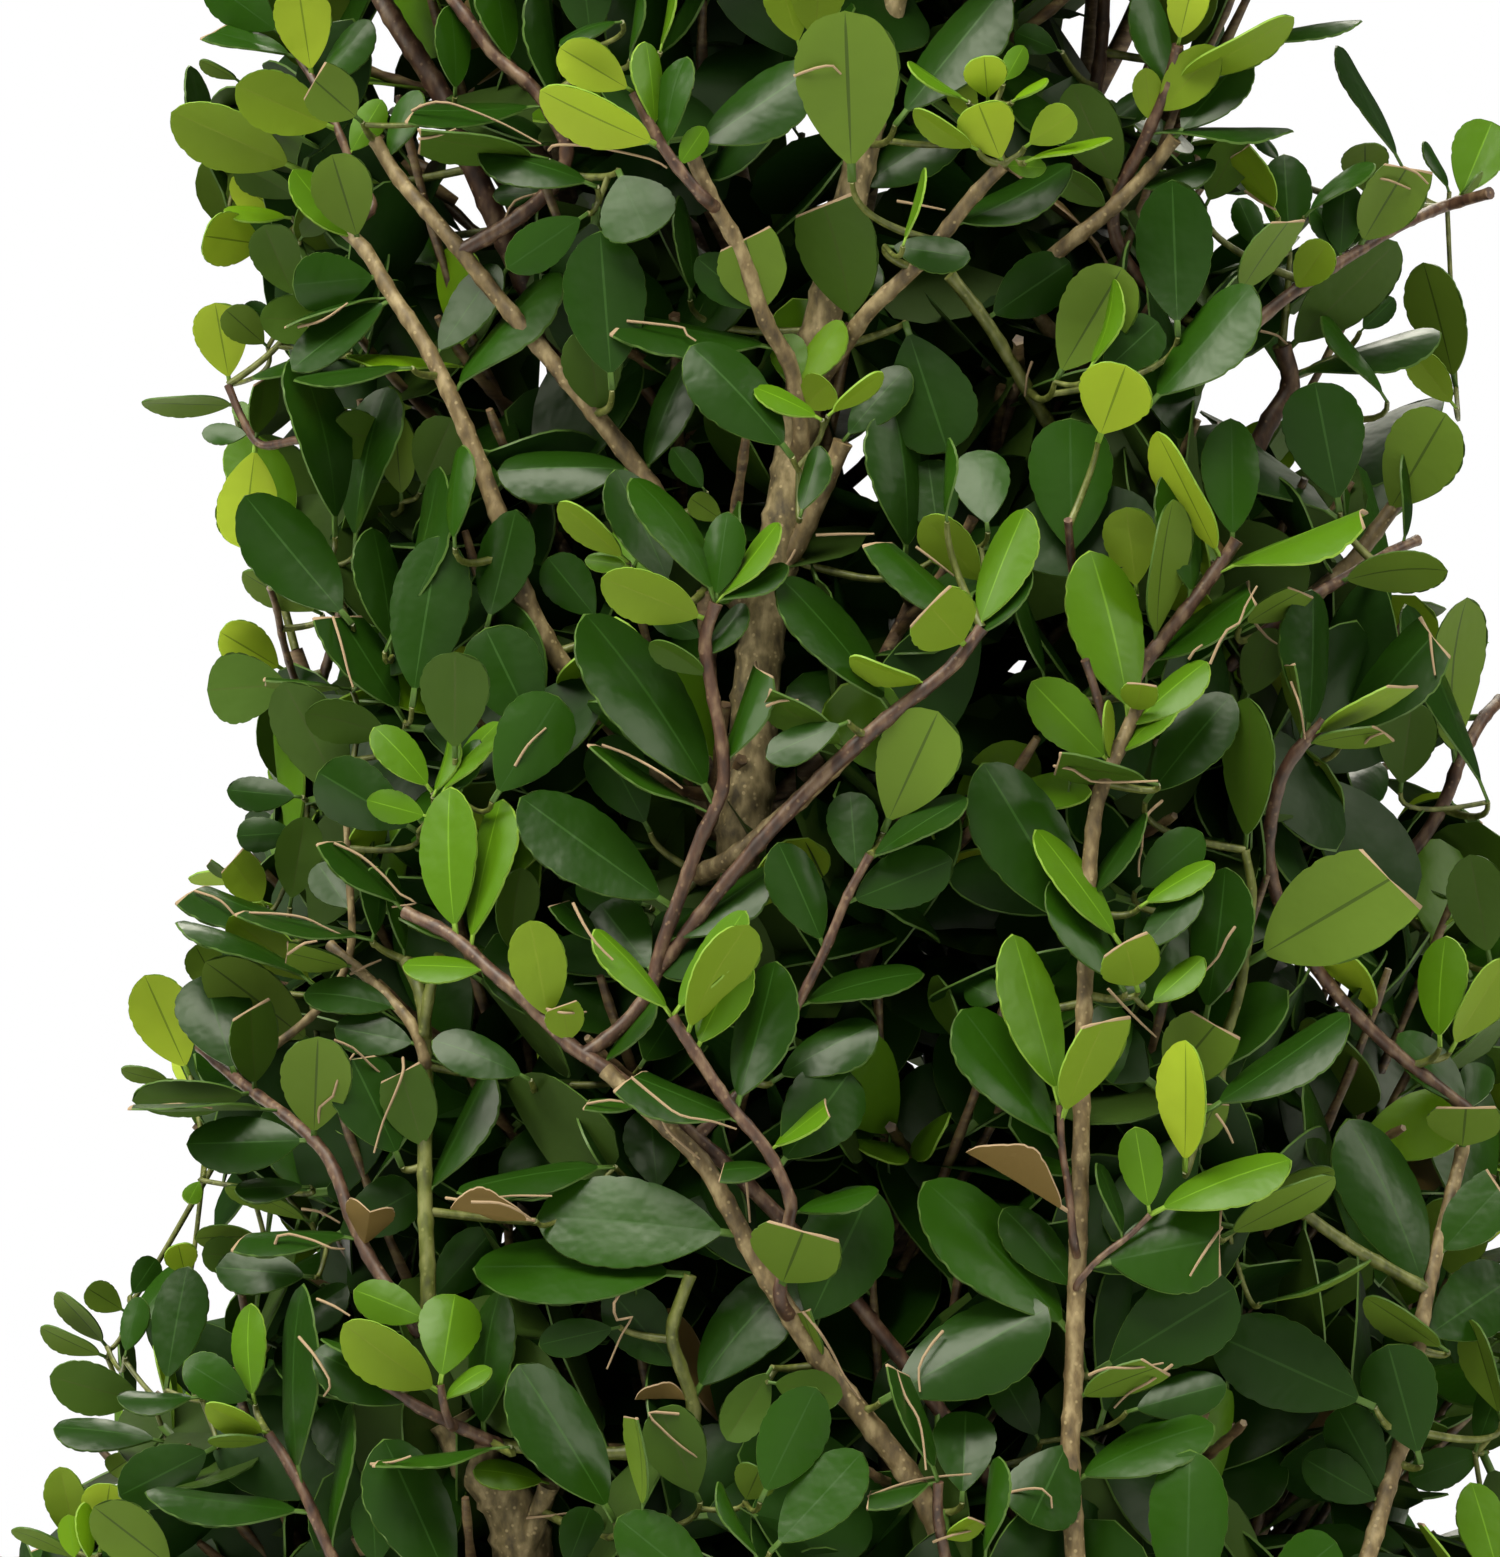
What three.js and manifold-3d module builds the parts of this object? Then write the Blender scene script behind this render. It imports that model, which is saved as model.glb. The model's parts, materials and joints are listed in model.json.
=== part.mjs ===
// A clipped cone of Japanese holly, a small-leaved evergreen shrub, 0.8 m tall and rooted in the ground.
// One slim leaning trunk runs up inside the crown. Boughs leave it in rings, rise steeply and end where
// they enter the clipped masses of foliage, which stand round the trunk like the courses of a wall.
// Sizes are in millimetres. +Z is up, the origin is the middle of the flat cut at ground level,
// and the face that is seen in the photograph looks along -Y.
import * as THREE from "three";
import { mergeVertices } from "three/addons/utils/BufferGeometryUtils.js";
import Module from "manifold-3d";

const wasm = await Module();
wasm.setup();

// Driving dimensions of the crown
const height = 800; // ground to the topmost leaf
const crownRadius = 127; // leaf tips at the foot of the cone, before the blunt tip is added
const tipRadius = 8; // a clipped cone is blunt
const bulge = 1.3; // above 1 the sides are slightly convex
const crownFoot = 16; // lowest leaves above the ground
const skirtHeight = 34; // the lower edge is rounded under over this height
const capHeight = 26; // the top is rounded over this height
const crownAxis = new THREE.Vector2(18, 4); // the cone stands a little beside the foot of its leaning trunk

// Trunk
const trunkTip = 676;
const footRadius = 8.2;
const trunkTipRadius = 1.3;
const flareRadius = 3.6; // what the root flare adds at the ground
const flareHeight = 14;
const flareLobes = 5;
const trunkSides = 10;
const trunkRings = 16;
const trunkBow = [0, -8, -16, -5, 12, 27, 35, 32, 26, 21, 18, 18]; // sideways place at even steps of height

// Boughs and masses, one course of the crown a line: how high the course's foot is, how many masses it has,
// where its boughs leave the trunk and how far apart, where they enter the masses, and their thickness
const courses = [
  { name: "skirt", foot: 16, masses: 5, turn: 8, leave: 24, step: 5, enter: 72, root: 3.2, end: 2.3 },
  { name: "lower", foot: 140, masses: 5, turn: 44, leave: 84, step: 8, enter: 188, root: 3.1, end: 2.2 },
  { name: "middle", foot: 268, masses: 4, turn: 12, leave: 214, step: 10, enter: 312, root: 2.5, end: 1.8 },
  { name: "upper", foot: 386, masses: 4, turn: 57, leave: 332, step: 9, enter: 426, root: 2.1, end: 1.6 },
  { name: "high", foot: 492, masses: 3, turn: 20, leave: 442, step: 10, enter: 528, root: 1.8, end: 1.4 },
  { name: "crest", foot: 586, masses: 3, turn: 80, leave: 548, step: 8, enter: 614, root: 1.5, end: 1.2 },
  { name: "top", foot: 676, masses: 1, turn: 0 },
];
const courseTilt = 0.2; // the planes between courses slope, each another way
const entryShare = 0.36; // a bough ends at this share of the crown's radius
const boughSides = 5;
const boughRings = 4;
const stemRise = 20; // a mass's stem climbs this far from its bough's tip to the middle of its core
const clearance = 0.3; // between pieces that meet

// Foliage. The leaves of the real shrub are 20 to 32 mm long; here each stands for two or three
const leafLength = { top: 17, foot: 44 };
const leafWidth = 0.56; // share of the length
const leafThickness = 0.032; // share of the length
const leafAngle = 50; // degrees between a twig and its leaves
const endLeafAngle = 22; // the same for the leaf at a twig's end
const leafTurn = 137.5; // degrees round the twig from one leaf to the next
const leafStep = 10; // along the twig
const leafRoom = 0.38; // between the middles of two leaves, as a share of their length
const leafOver = 4; // a leaf's tip may stand this far outside the clipped face
const twigSpacing = { top: 36, foot: 57 }; // between neighbouring twig tips on the face of the crown
const twigRise = 36; // from a twig's root to its tip
const twigRadius = 1.4;
const twigEnd = 0.87; // a twig ends at this share of the crown's radius, and its leaves reach the face
const leaderTip = height - 13; // the topmost twig stands upright on the crown's axis
const coreInner = 0.42;
const coreOuter = 0.72; // cores fill these shares of the crown's radius
const coreGap = 1.3; // from a core to the edges of its mass's space
const coreTop = height - 30; // the topmost core ends here
const coreSquareness = 0.3;

const barkOld = new THREE.MeshStandardMaterial({ color: 0x7a6a52, roughness: 0.85, metalness: 0 });
const barkYoung = new THREE.MeshStandardMaterial({ color: 0x6b5142, roughness: 0.8, metalness: 0 });
const foliage = new THREE.MeshStandardMaterial({ color: 0x2f5a22, roughness: 0.45, metalness: 0 });

const degrees = THREE.MathUtils.degToRad;

// A seeded source of numbers from 0 to 1, so that the shrub is the same each time
function seeded(seed) {
  let state = seed >>> 0;
  return () => {
    state = (state + 0x6d2b79f5) >>> 0;
    let t = Math.imul(state ^ (state >>> 15), 1 | state);
    t = (t + Math.imul(t ^ (t >>> 7), 61 | t)) ^ t;
    return ((t ^ (t >>> 14)) >>> 0) / 4294967296;
  };
}

// Radius of the clipped crown at a height
function crownAt(z) {
  const t = THREE.MathUtils.clamp(z / height, 0, 1);
  const cone = tipRadius + crownRadius * (1 - t ** bulge);
  const under = THREE.MathUtils.clamp((z - crownFoot) / skirtHeight, 0, 1);
  const over = THREE.MathUtils.clamp((height - z) / capHeight, 0, 1);
  const skirt = 0.82 + 0.18 * Math.sqrt(1 - (1 - under) ** 2);
  return cone * skirt * Math.sqrt(1 - (1 - over) ** 2);
}

// A point of the crown, from its turn round the axis, its distance from the axis and its height
function crownPoint(azimuth, radius, z) {
  return new THREE.Vector3(
    crownAxis.x + radius * Math.cos(azimuth),
    crownAxis.y + radius * Math.sin(azimuth),
    z,
  );
}

// The trunk's middle line: it bows to one side low down, crosses the axis and comes back to it at the top
const trunkLine = new THREE.CatmullRomCurve3(
  trunkBow.map((x, i) => {
    const share = i / (trunkBow.length - 1);
    return new THREE.Vector3(x, crownAxis.y * share, share * trunkTip);
  }),
  false,
  "catmullrom",
);

function trunkRadius(z) {
  const share = z / trunkTip;
  return trunkTipRadius + (footRadius - trunkTipRadius) * (1 - share) ** 1.6;
}

// A three.js shape with its corners joined
function joined(geometry) {
  geometry.deleteAttribute("normal");
  geometry.deleteAttribute("uv");
  return mergeVertices(geometry, 1e-3);
}

// A closed three.js shape as a solid, faces turned outwards if a mapping has turned them in
function solidOf(geometry) {
  const merged = joined(geometry);
  const vertProperties = new Float32Array(merged.attributes.position.array);
  const triVerts = new Uint32Array(merged.index.array);
  const made = new wasm.Manifold(new wasm.Mesh({ numProp: 3, vertProperties, triVerts }));
  if (made.volume() > 0) return made;
  for (let i = 0; i < triVerts.length; i += 3) {
    [triVerts[i + 1], triVerts[i + 2]] = [triVerts[i + 2], triVerts[i + 1]];
  }
  return new wasm.Manifold(new wasm.Mesh({ numProp: 3, vertProperties, triVerts }));
}

// The largest closed body of a solid, with loose scraps dropped and sealed hollows filled
function mainBody(solid) {
  const bodies = solid.decompose();
  return bodies.reduce((largest, body) => (body.volume() > largest.volume() ? body : largest));
}

// True if a solid stays closed when its corners are rounded to a ten-thousandth of a millimetre
function staysClosed(solid) {
  const { vertProperties, triVerts } = solid.getMesh();
  const corner = (v) => [0, 1, 2].map((axis) => Math.round(vertProperties[3 * v + axis] * 1e4)).join();
  const edges = new Map();
  for (let i = 0; i < triVerts.length; i += 3) {
    const corners = [0, 1, 2].map((k) => corner(triVerts[i + k]));
    if (new Set(corners).size < 3) continue;
    for (let k = 0; k < 3; k++) {
      const edge = [corners[k], corners[(k + 1) % 3]].sort().join();
      edges.set(edge, (edges.get(edge) ?? 0) + 1);
    }
  }
  return [...edges.values()].every((uses) => uses === 2);
}

function meshOf(name, solid, material) {
  const made = solid.getMesh();
  const geometry = new THREE.BufferGeometry();
  geometry.setAttribute("position", new THREE.BufferAttribute(made.vertProperties, 3));
  geometry.setIndex(new THREE.BufferAttribute(made.triVerts, 1));
  const mesh = new THREE.Mesh(geometry, material);
  mesh.name = name;
  return mesh;
}

// A tapering limb along a curve: a closed cylinder whose rings are laid across the curve
function limb(curve, radiusAt, sides, rings, extra = 0) {
  const geometry = new THREE.CylinderGeometry(1, 1, 1, sides, rings);
  const frames = curve.computeFrenetFrames(rings, false);
  const position = geometry.attributes.position;
  for (let i = 0; i < position.count; i++) {
    const share = position.getY(i) + 0.5;
    const ring = Math.round(share * rings);
    const radius = radiusAt(share) + extra;
    const point = curve.getPoint(share);
    point.addScaledVector(frames.normals[ring], position.getX(i) * radius);
    point.addScaledVector(frames.binormals[ring], position.getZ(i) * radius);
    position.setXYZ(i, point.x, point.y, point.z);
  }
  return solidOf(geometry);
}

// The trunk: level rings, so that the cut at the ground is flat, with the root flare's lobes on the lowest
function trunkSolid(extra = 0) {
  const geometry = new THREE.CylinderGeometry(1, 1, 1, trunkSides, trunkRings);
  const position = geometry.attributes.position;
  for (let i = 0; i < position.count; i++) {
    const share = (position.getY(i) + 0.5) ** 1.35; // rings lie closer at the foot
    const middle = trunkLine.getPoint(share);
    const around = Math.atan2(position.getZ(i), position.getX(i));
    const lobes = 1 + 0.45 * Math.cos(flareLobes * around);
    const flare = flareRadius * Math.exp(-middle.z / flareHeight) * lobes;
    const reach = Math.hypot(position.getX(i), position.getZ(i));
    const radius = reach * (trunkRadius(middle.z) + flare + extra);
    const x = middle.x + radius * Math.cos(around);
    position.setXYZ(i, x, middle.y + radius * Math.sin(around), middle.z);
  }
  return solidOf(geometry);
}

// A bough: it leaves the trunk's middle line, turns up and ends at its mass
function boughLine(course, index) {
  const azimuth = degrees(course.turn + (360 / course.masses) * index);
  const from = trunkLine.getPoint((course.leave + course.step * index) / trunkTip);
  const to = crownPoint(azimuth, entryShare * crownAt(course.enter), course.enter);
  const bend = from.clone().lerp(to, 0.62);
  bend.z = THREE.MathUtils.lerp(from.z, to.z, 0.34);
  return new THREE.QuadraticBezierCurve3(from, bend, to);
}

// The height of the sloping plane under a course, at a point of the crown
function footAt(number, x, y) {
  if (number === 0) return crownFoot;
  if (number === courses.length) return height + 5;
  const down = degrees(leafTurn * number);
  const slope = number === courses.length - 1 ? 0 : courseTilt;
  const away = (x - crownAxis.x) * Math.cos(down) + (y - crownAxis.y) * Math.sin(down);
  return courses[number].foot + slope * away;
}

// The space of one mass: a block of the crown between two of those planes and two turns round the axis
function spaceOf(number, index) {
  const { turn, masses } = courses[number];
  return { number, middle: degrees(turn + (360 / masses) * index), half: Math.PI / masses };
}

function lowOf(space, turn, radius) {
  const point = crownPoint(turn, radius, 0);
  return footAt(space.number, point.x, point.y);
}

function highOf(space, turn, radius) {
  const point = crownPoint(turn, radius, 0);
  return footAt(space.number + 1, point.x, point.y);
}

function insideSpace(point, space) {
  const gap = 2 * clearance;
  if (point.z < footAt(space.number, point.x, point.y) + gap) return false;
  if (point.z > footAt(space.number + 1, point.x, point.y) - gap) return false;
  const x = point.x - crownAxis.x;
  const y = point.y - crownAxis.y;
  const radius = Math.hypot(x, y);
  if (radius > crownAt(point.z) + leafOver) return false;
  if (space.half >= Math.PI) return true;
  const away = Math.atan2(y, x) - space.middle;
  const turn = Math.abs(Math.atan2(Math.sin(away), Math.cos(away)));
  return turn < space.half && radius * Math.sin(space.half - turn) > gap;
}

// The core of a clipped mass: a rounded block inside its space
function coreSolid(space) {
  const geometry = joined(new THREE.SphereGeometry(1, 8, 5));
  const position = geometry.attributes.position;
  const square = (v) => Math.sign(v) * Math.abs(v) ** coreSquareness;
  for (let i = 0; i < position.count; i++) {
    const share = THREE.MathUtils.lerp(coreInner, coreOuter, square(position.getX(i)) / 2 + 0.5);
    const reach = share * crownAt(lowOf(space, space.middle, 0) + 50);
    const turn = space.middle + square(position.getZ(i)) * (space.half - coreGap / reach);
    const rise = square(position.getY(i)) / 2 + 0.5;
    const low = lowOf(space, turn, reach) + coreGap;
    const z = THREE.MathUtils.lerp(low, highOf(space, turn, reach) - coreGap, rise);
    const point = crownPoint(turn, share * crownAt(z), z);
    position.setXYZ(i, point.x, point.y, point.z);
  }
  return solidOf(geometry);
}

// The core of the topmost mass: a spindle above the trunk's tip
function topCoreSolid(low, high) {
  const steps = 5;
  const profile = Array.from({ length: steps + 1 }, (_, i) => {
    const share = i / steps;
    const z = THREE.MathUtils.lerp(low, high, share);
    return new THREE.Vector2(i % steps === 0 ? 0 : 0.7 * crownAt(z), z);
  });
  const geometry = new THREE.LatheGeometry(profile, 7);
  geometry.rotateX(Math.PI / 2);
  geometry.translate(crownAxis.x, crownAxis.y, 0);
  return solidOf(geometry);
}

// One leaf of eight faces: a thin blade, broadest beyond its middle, with its root at the given point
function leafGeometry(root, along, faceUp, length) {
  const across = new THREE.Vector3().crossVectors(faceUp, along).normalize();
  const geometry = new THREE.OctahedronGeometry(1, 0);
  const position = geometry.attributes.position;
  for (let i = 0; i < position.count; i++) {
    const middle = position.getX(i) === 0 && position.getZ(i) === 0;
    const reach = (position.getX(i) + 1) / 2 + (middle ? 0 : 0.08 * Math.abs(position.getZ(i)));
    const bow = 0.06 * length * Math.sin(Math.PI * reach);
    const point = root.clone().addScaledVector(along, reach * length);
    point.addScaledVector(across, (position.getZ(i) * leafWidth * length) / 2);
    point.addScaledVector(faceUp, (position.getY(i) * leafThickness * length) / 2 + bow);
    position.setXYZ(i, point.x, point.y, point.z);
  }
  return geometry;
}

function cornersOf(geometry) {
  const position = geometry.attributes.position;
  const corner = (_, i) => new THREE.Vector3().fromBufferAttribute(position, i);
  return Array.from({ length: position.count }, corner);
}

// True if a leaf keeps to its mass's space, stands clear of the core and leaves room to those before it
function leafFits(corners, root, middle, room, space, placed) {
  const stands = (corner) => {
    const radius = Math.hypot(corner.x - crownAxis.x, corner.y - crownAxis.y);
    const outside = corner.z > coreTop || radius > coreOuter * crownAt(corner.z) + 0.5;
    return outside || corner.distanceTo(root) < twigRadius;
  };
  if (!corners.every((corner) => insideSpace(corner, space) && stands(corner))) return false;
  return placed.every((other) => other.distanceTo(middle) > room);
}

// A leafy twig: it rises outwards to its tip, and leaves turn round it by a steady angle
function leafyTwig(base, tip, space, placed, random) {
  const line = new THREE.LineCurve3(base, tip);
  if (!line.getPoints(4).every((point) => insideSpace(point, space))) return [];
  const solids = [limb(line, (share) => twigRadius * (1 - 0.4 * share), 3, 1)];
  const length = line.getLength();
  const face = crownAt(tip.z) / crownRadius;
  const usual = THREE.MathUtils.lerp(leafLength.top, leafLength.foot, Math.min(face, 1));
  let turn = random() * 360;
  for (let back = 1.5; back < 0.75 * length; back += leafStep) {
    const share = 1 - back / length;
    const root = line.getPoint(share);
    const ahead = line.getTangent(share);
    const side = new THREE.Vector3(1, 0, 0).cross(ahead).normalize();
    turn += leafTurn;
    for (let attempt = 0; attempt < 10; attempt++) {
      const size = usual * (0.9 + 0.25 * random()) * 0.965 ** attempt;
      const usualLean = (back < leafStep ? endLeafAngle : leafAngle) * 0.93 ** attempt;
      const lean = degrees(usualLean * (0.8 + 0.4 * random()));
      const outward = side.clone().applyAxisAngle(ahead, degrees(turn + 47 * attempt));
      const along = ahead.clone().multiplyScalar(Math.cos(lean)).addScaledVector(outward, Math.sin(lean));
      const faceUp = ahead.clone().addScaledVector(along, -ahead.dot(along)).normalize();
      const middle = root.clone().addScaledVector(along, size / 2);
      const geometry = leafGeometry(root, along, faceUp, size);
      if (!leafFits(cornersOf(geometry), root, middle, leafRoom * usual, space, placed)) continue;
      placed.push(middle);
      solids.push(solidOf(geometry));
      break;
    }
  }
  return solids;
}

// Twig tips spread evenly over the face of a mass, in staggered columns, with the shares of the crown's
// radius where the twig starts, among the core, and ends
function tipsOf(space, random) {
  const halfway = (lowOf(space, space.middle, 0) + highOf(space, space.middle, 0)) / 2;
  const face = crownAt(halfway);
  const spacing = THREE.MathUtils.lerp(twigSpacing.top, twigSpacing.foot, Math.min(face / crownRadius, 1));
  const columns = Math.max(1, Math.round((2 * space.half * face) / spacing));
  const tips = [];
  for (let column = 0; column < columns; column++) {
    const turn = space.middle + space.half * ((2 * column + 1) / columns - 1);
    const low = lowOf(space, turn, 0.85 * face) + 0.35 * twigRise;
    const high = Math.min(highOf(space, turn, 0.85 * face) - 12, height - 26);
    const rows = Math.max(2, Math.round((high - low) / spacing + 0.5));
    for (let row = 0; row < rows; row++) {
      const rise = (row + (column % 2) / 4) / (rows - 0.75);
      const z = THREE.MathUtils.lerp(low, high, Math.min(rise, 1));
      tips.push({ turn: turn + (0.3 * (random() - 0.5) * spacing) / face, z, from: 1, to: twigEnd });
    }
  }
  if (space.number === courses.length - 1) tips.push({ turn: 0, z: leaderTip, from: 0, to: 0 });
  return tips;
}

// A mass of foliage: the stem that carries on from its bough, its core, and the leafy twigs on them
function massSolid(space, stemFrom, stemAhead, stemRadius, core, twigRoot, limbs, random) {
  const from = stemFrom.clone().addScaledVector(stemAhead, clearance);
  const bend = from.clone().addScaledVector(stemAhead, stemRise / 2);
  const to = crownPoint(space.middle, twigRoot * crownAt(from.z + stemRise), from.z + stemRise);
  const stem = new THREE.QuadraticBezierCurve3(from, bend, to);
  const solids = [core, limb(stem, (share) => stemRadius * (1 - 0.4 * share), boughSides, 2)];
  const placed = [];
  for (const tip of tipsOf(space, random)) {
    const end = crownPoint(tip.turn, tip.to * crownAt(tip.z), tip.z);
    const rootRadius = tip.from * twigRoot * crownAt(tip.z - twigRise);
    const lowest = lowOf(space, tip.turn, rootRadius) + 7;
    const start = crownPoint(tip.turn, rootRadius, Math.max(tip.z - twigRise, lowest));
    solids.push(...leafyTwig(start, end, space, placed, random));
  }
  return mainBody(wasm.Manifold.union(solids).subtract(limbs));
}

// A mass is grown from another seed if two of its thin leaves meet too finely
function grownMass(seed, ...rule) {
  for (let attempt = 0; attempt < 8; attempt++) {
    const solid = massSolid(...rule, seeded(seed + 1000 * attempt));
    if (staysClosed(solid)) return solid;
  }
  throw new Error(`no seed from ${seed} grows a closed mass`);
}

const group = new THREE.Group();
group.name = "japanese_holly_cone";
group.add(meshOf("trunk", trunkSolid(), barkOld));

const boughs = [];
courses.slice(0, -1).forEach((course, number) => {
  for (let index = 0; index < course.masses; index++) {
    const line = boughLine(course, index);
    const radiusAt = (share) => THREE.MathUtils.lerp(course.root, course.end, share);
    boughs.push({ course, number, index, line, radiusAt });
  }
});
const trunkRoom = trunkSolid(clearance);
for (const { course, index, line, radiusAt } of boughs) {
  const solid = mainBody(limb(line, radiusAt, boughSides, boughRings).subtract(trunkRoom));
  group.add(meshOf(`bough_${course.name}_${index + 1}`, solid, barkYoung));
}

const limbRoom = wasm.Manifold.union([
  trunkRoom,
  ...boughs.map(({ line, radiusAt }) => limb(line, radiusAt, boughSides, boughRings, clearance)),
]);
boughs.forEach(({ course, number, index, line }, count) => {
  const space = spaceOf(number, index);
  const twigRoot = (coreInner + coreOuter) / 2;
  const stem = [line.getPoint(1), line.getTangent(1), course.end];
  const solid = grownMass(101 + count, space, ...stem, coreSolid(space), twigRoot, limbRoom);
  group.add(meshOf(`mass_${course.name}_${index + 1}`, solid, foliage));
});

const topSpace = spaceOf(courses.length - 1, 0);
const topCore = topCoreSolid(trunkTip + 4, coreTop);
const topStem = [trunkLine.getPoint(1), new THREE.Vector3(0, 0, 1), trunkTipRadius];
group.add(meshOf("mass_top", grownMass(77, topSpace, ...topStem, topCore, 0.3, limbRoom), foliage));
export default group;
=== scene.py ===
import itertools
import json
import math
import random

import bpy
import numpy as np
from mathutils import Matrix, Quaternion, Vector

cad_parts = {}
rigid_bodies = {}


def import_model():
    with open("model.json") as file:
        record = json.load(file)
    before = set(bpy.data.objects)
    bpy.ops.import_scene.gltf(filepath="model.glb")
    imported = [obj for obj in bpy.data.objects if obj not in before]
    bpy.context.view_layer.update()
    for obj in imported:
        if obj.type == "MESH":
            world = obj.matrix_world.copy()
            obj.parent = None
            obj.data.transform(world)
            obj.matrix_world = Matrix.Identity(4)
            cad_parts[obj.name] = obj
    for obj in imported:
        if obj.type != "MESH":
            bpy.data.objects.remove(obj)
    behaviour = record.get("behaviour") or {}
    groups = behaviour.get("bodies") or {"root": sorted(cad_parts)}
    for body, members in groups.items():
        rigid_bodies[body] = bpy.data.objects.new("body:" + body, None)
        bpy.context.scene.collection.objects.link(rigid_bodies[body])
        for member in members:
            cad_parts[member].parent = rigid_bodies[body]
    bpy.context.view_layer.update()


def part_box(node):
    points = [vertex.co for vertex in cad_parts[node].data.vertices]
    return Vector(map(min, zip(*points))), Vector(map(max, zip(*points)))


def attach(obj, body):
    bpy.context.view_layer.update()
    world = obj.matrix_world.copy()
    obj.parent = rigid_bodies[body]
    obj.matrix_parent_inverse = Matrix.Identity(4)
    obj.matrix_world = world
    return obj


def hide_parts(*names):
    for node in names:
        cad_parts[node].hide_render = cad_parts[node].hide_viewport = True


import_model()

# Trunk
# One slim leaning stem of wood under thin tan-olive bark, wrinkled across, with raised pores. It is cut flat
# at the ground, flares there into five lobes and runs up inside the crown to its tip.
mm = 0.001
trunk_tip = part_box("trunk")[1].z
foot_radius = 9 * mm
trunk_tip_radius = 1.3 * mm
trunk_taper = 2.4
flare_radius = 3.6 * mm
flare_height = 14 * mm
flare_lobes = 5
flare_lobe_depth = 0.45
trunk_bow = [0, -8, -16, -5, 12, 27, 35, 32, 26, 21, 18, 18]  # millimetres sideways, at even steps of height
crown_axis = Vector((18 * mm, 4 * mm))


def trunk_point(z):
    """Middle of the trunk at a height: a smooth curve through its sideways bows."""
    steps = len(trunk_bow) - 1
    place = min(max(z / trunk_tip, 0), 1) * steps
    i = min(int(place), steps - 1)
    t = place - i
    before = trunk_bow[i - 1] if i else 2 * trunk_bow[0] - trunk_bow[1]
    here, after = trunk_bow[i], trunk_bow[i + 1]
    beyond = trunk_bow[i + 2] if i + 2 <= steps else 2 * trunk_bow[-1] - trunk_bow[-2]
    rise, back = (after - before) / 2, (beyond - here) / 2
    x = (2 * here - 2 * after + rise + back) * t**3
    x += (3 * after - 3 * here - 2 * rise - back) * t**2 + rise * t + here
    return Vector((x * mm, crown_axis.y * place / steps, z))


def trunk_radius(z):
    share = 1 - min(max(z / trunk_tip, 0), 1)
    return trunk_tip_radius + (foot_radius - trunk_tip_radius) * share**trunk_taper


class Value:
    """A socket of a node tree. Sums and products of values add Math nodes to the tree."""

    def __init__(self, tree, socket):
        self.tree, self.socket = tree, socket

    def feed(self, socket):
        self.tree.tree.links.new(self.socket, socket)

    def output(self, key):
        """Another output of the node that this value comes from."""
        return Value(self.tree, self.socket.node.outputs[key])

    def math(self, operation, *others):
        return self.tree.node("ShaderNodeMath", [self, *others], operation=operation)

    def vector(self, operation, other=None, scale=None):
        values = {0: self}
        if other is not None:
            values[1] = other
        if scale is not None:
            values["Scale"] = scale
        return self.tree.node("ShaderNodeVectorMath", values, operation=operation)

    def __add__(self, other):
        return self.math("ADD", other)

    def __mul__(self, other):
        return self.math("MULTIPLY", other)

    def __sub__(self, other):
        return self.math("SUBTRACT", other)

    def __truediv__(self, other):
        return self.math("DIVIDE", other)

    def __rsub__(self, other):
        return self.tree.node("ShaderNodeMath", [other, self], operation="SUBTRACT")

    __radd__ = __add__
    __rmul__ = __mul__


class Tree:
    """A node tree, of a material or of Geometry Nodes, with one method that makes any node."""

    def __init__(self, tree):
        self.tree = tree

    def node(self, kind, values=(), out=0, **settings):
        made = self.tree.nodes.new(kind)
        for name, setting in settings.items():
            setattr(made, name, setting)
        named = values.items() if isinstance(values, dict) else enumerate(values)
        for name, value in named:
            if isinstance(value, Value):
                value.feed(made.inputs[name])
            else:
                made.inputs[name].default_value = value
        return Value(self, made.outputs[out])

    def noise(self, place, scale, detail, roughness=0.5):
        values = {"Vector": place, "Scale": scale, "Detail": detail, "Roughness": roughness}
        return self.node("ShaderNodeTexNoise", values)

    def ramp(self, value, *stops):
        """A Color Ramp with stops of (position, colour)."""
        made = self.tree.nodes.new("ShaderNodeValToRGB")
        elements = made.color_ramp.elements
        while len(elements) < len(stops):
            elements.new(0.5)
        for element, (position, colour) in zip(elements, stops):
            element.position = position
            element.color = (*colour, 1)
        value.feed(made.inputs[0])
        return Value(self, made.outputs[0])


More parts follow.
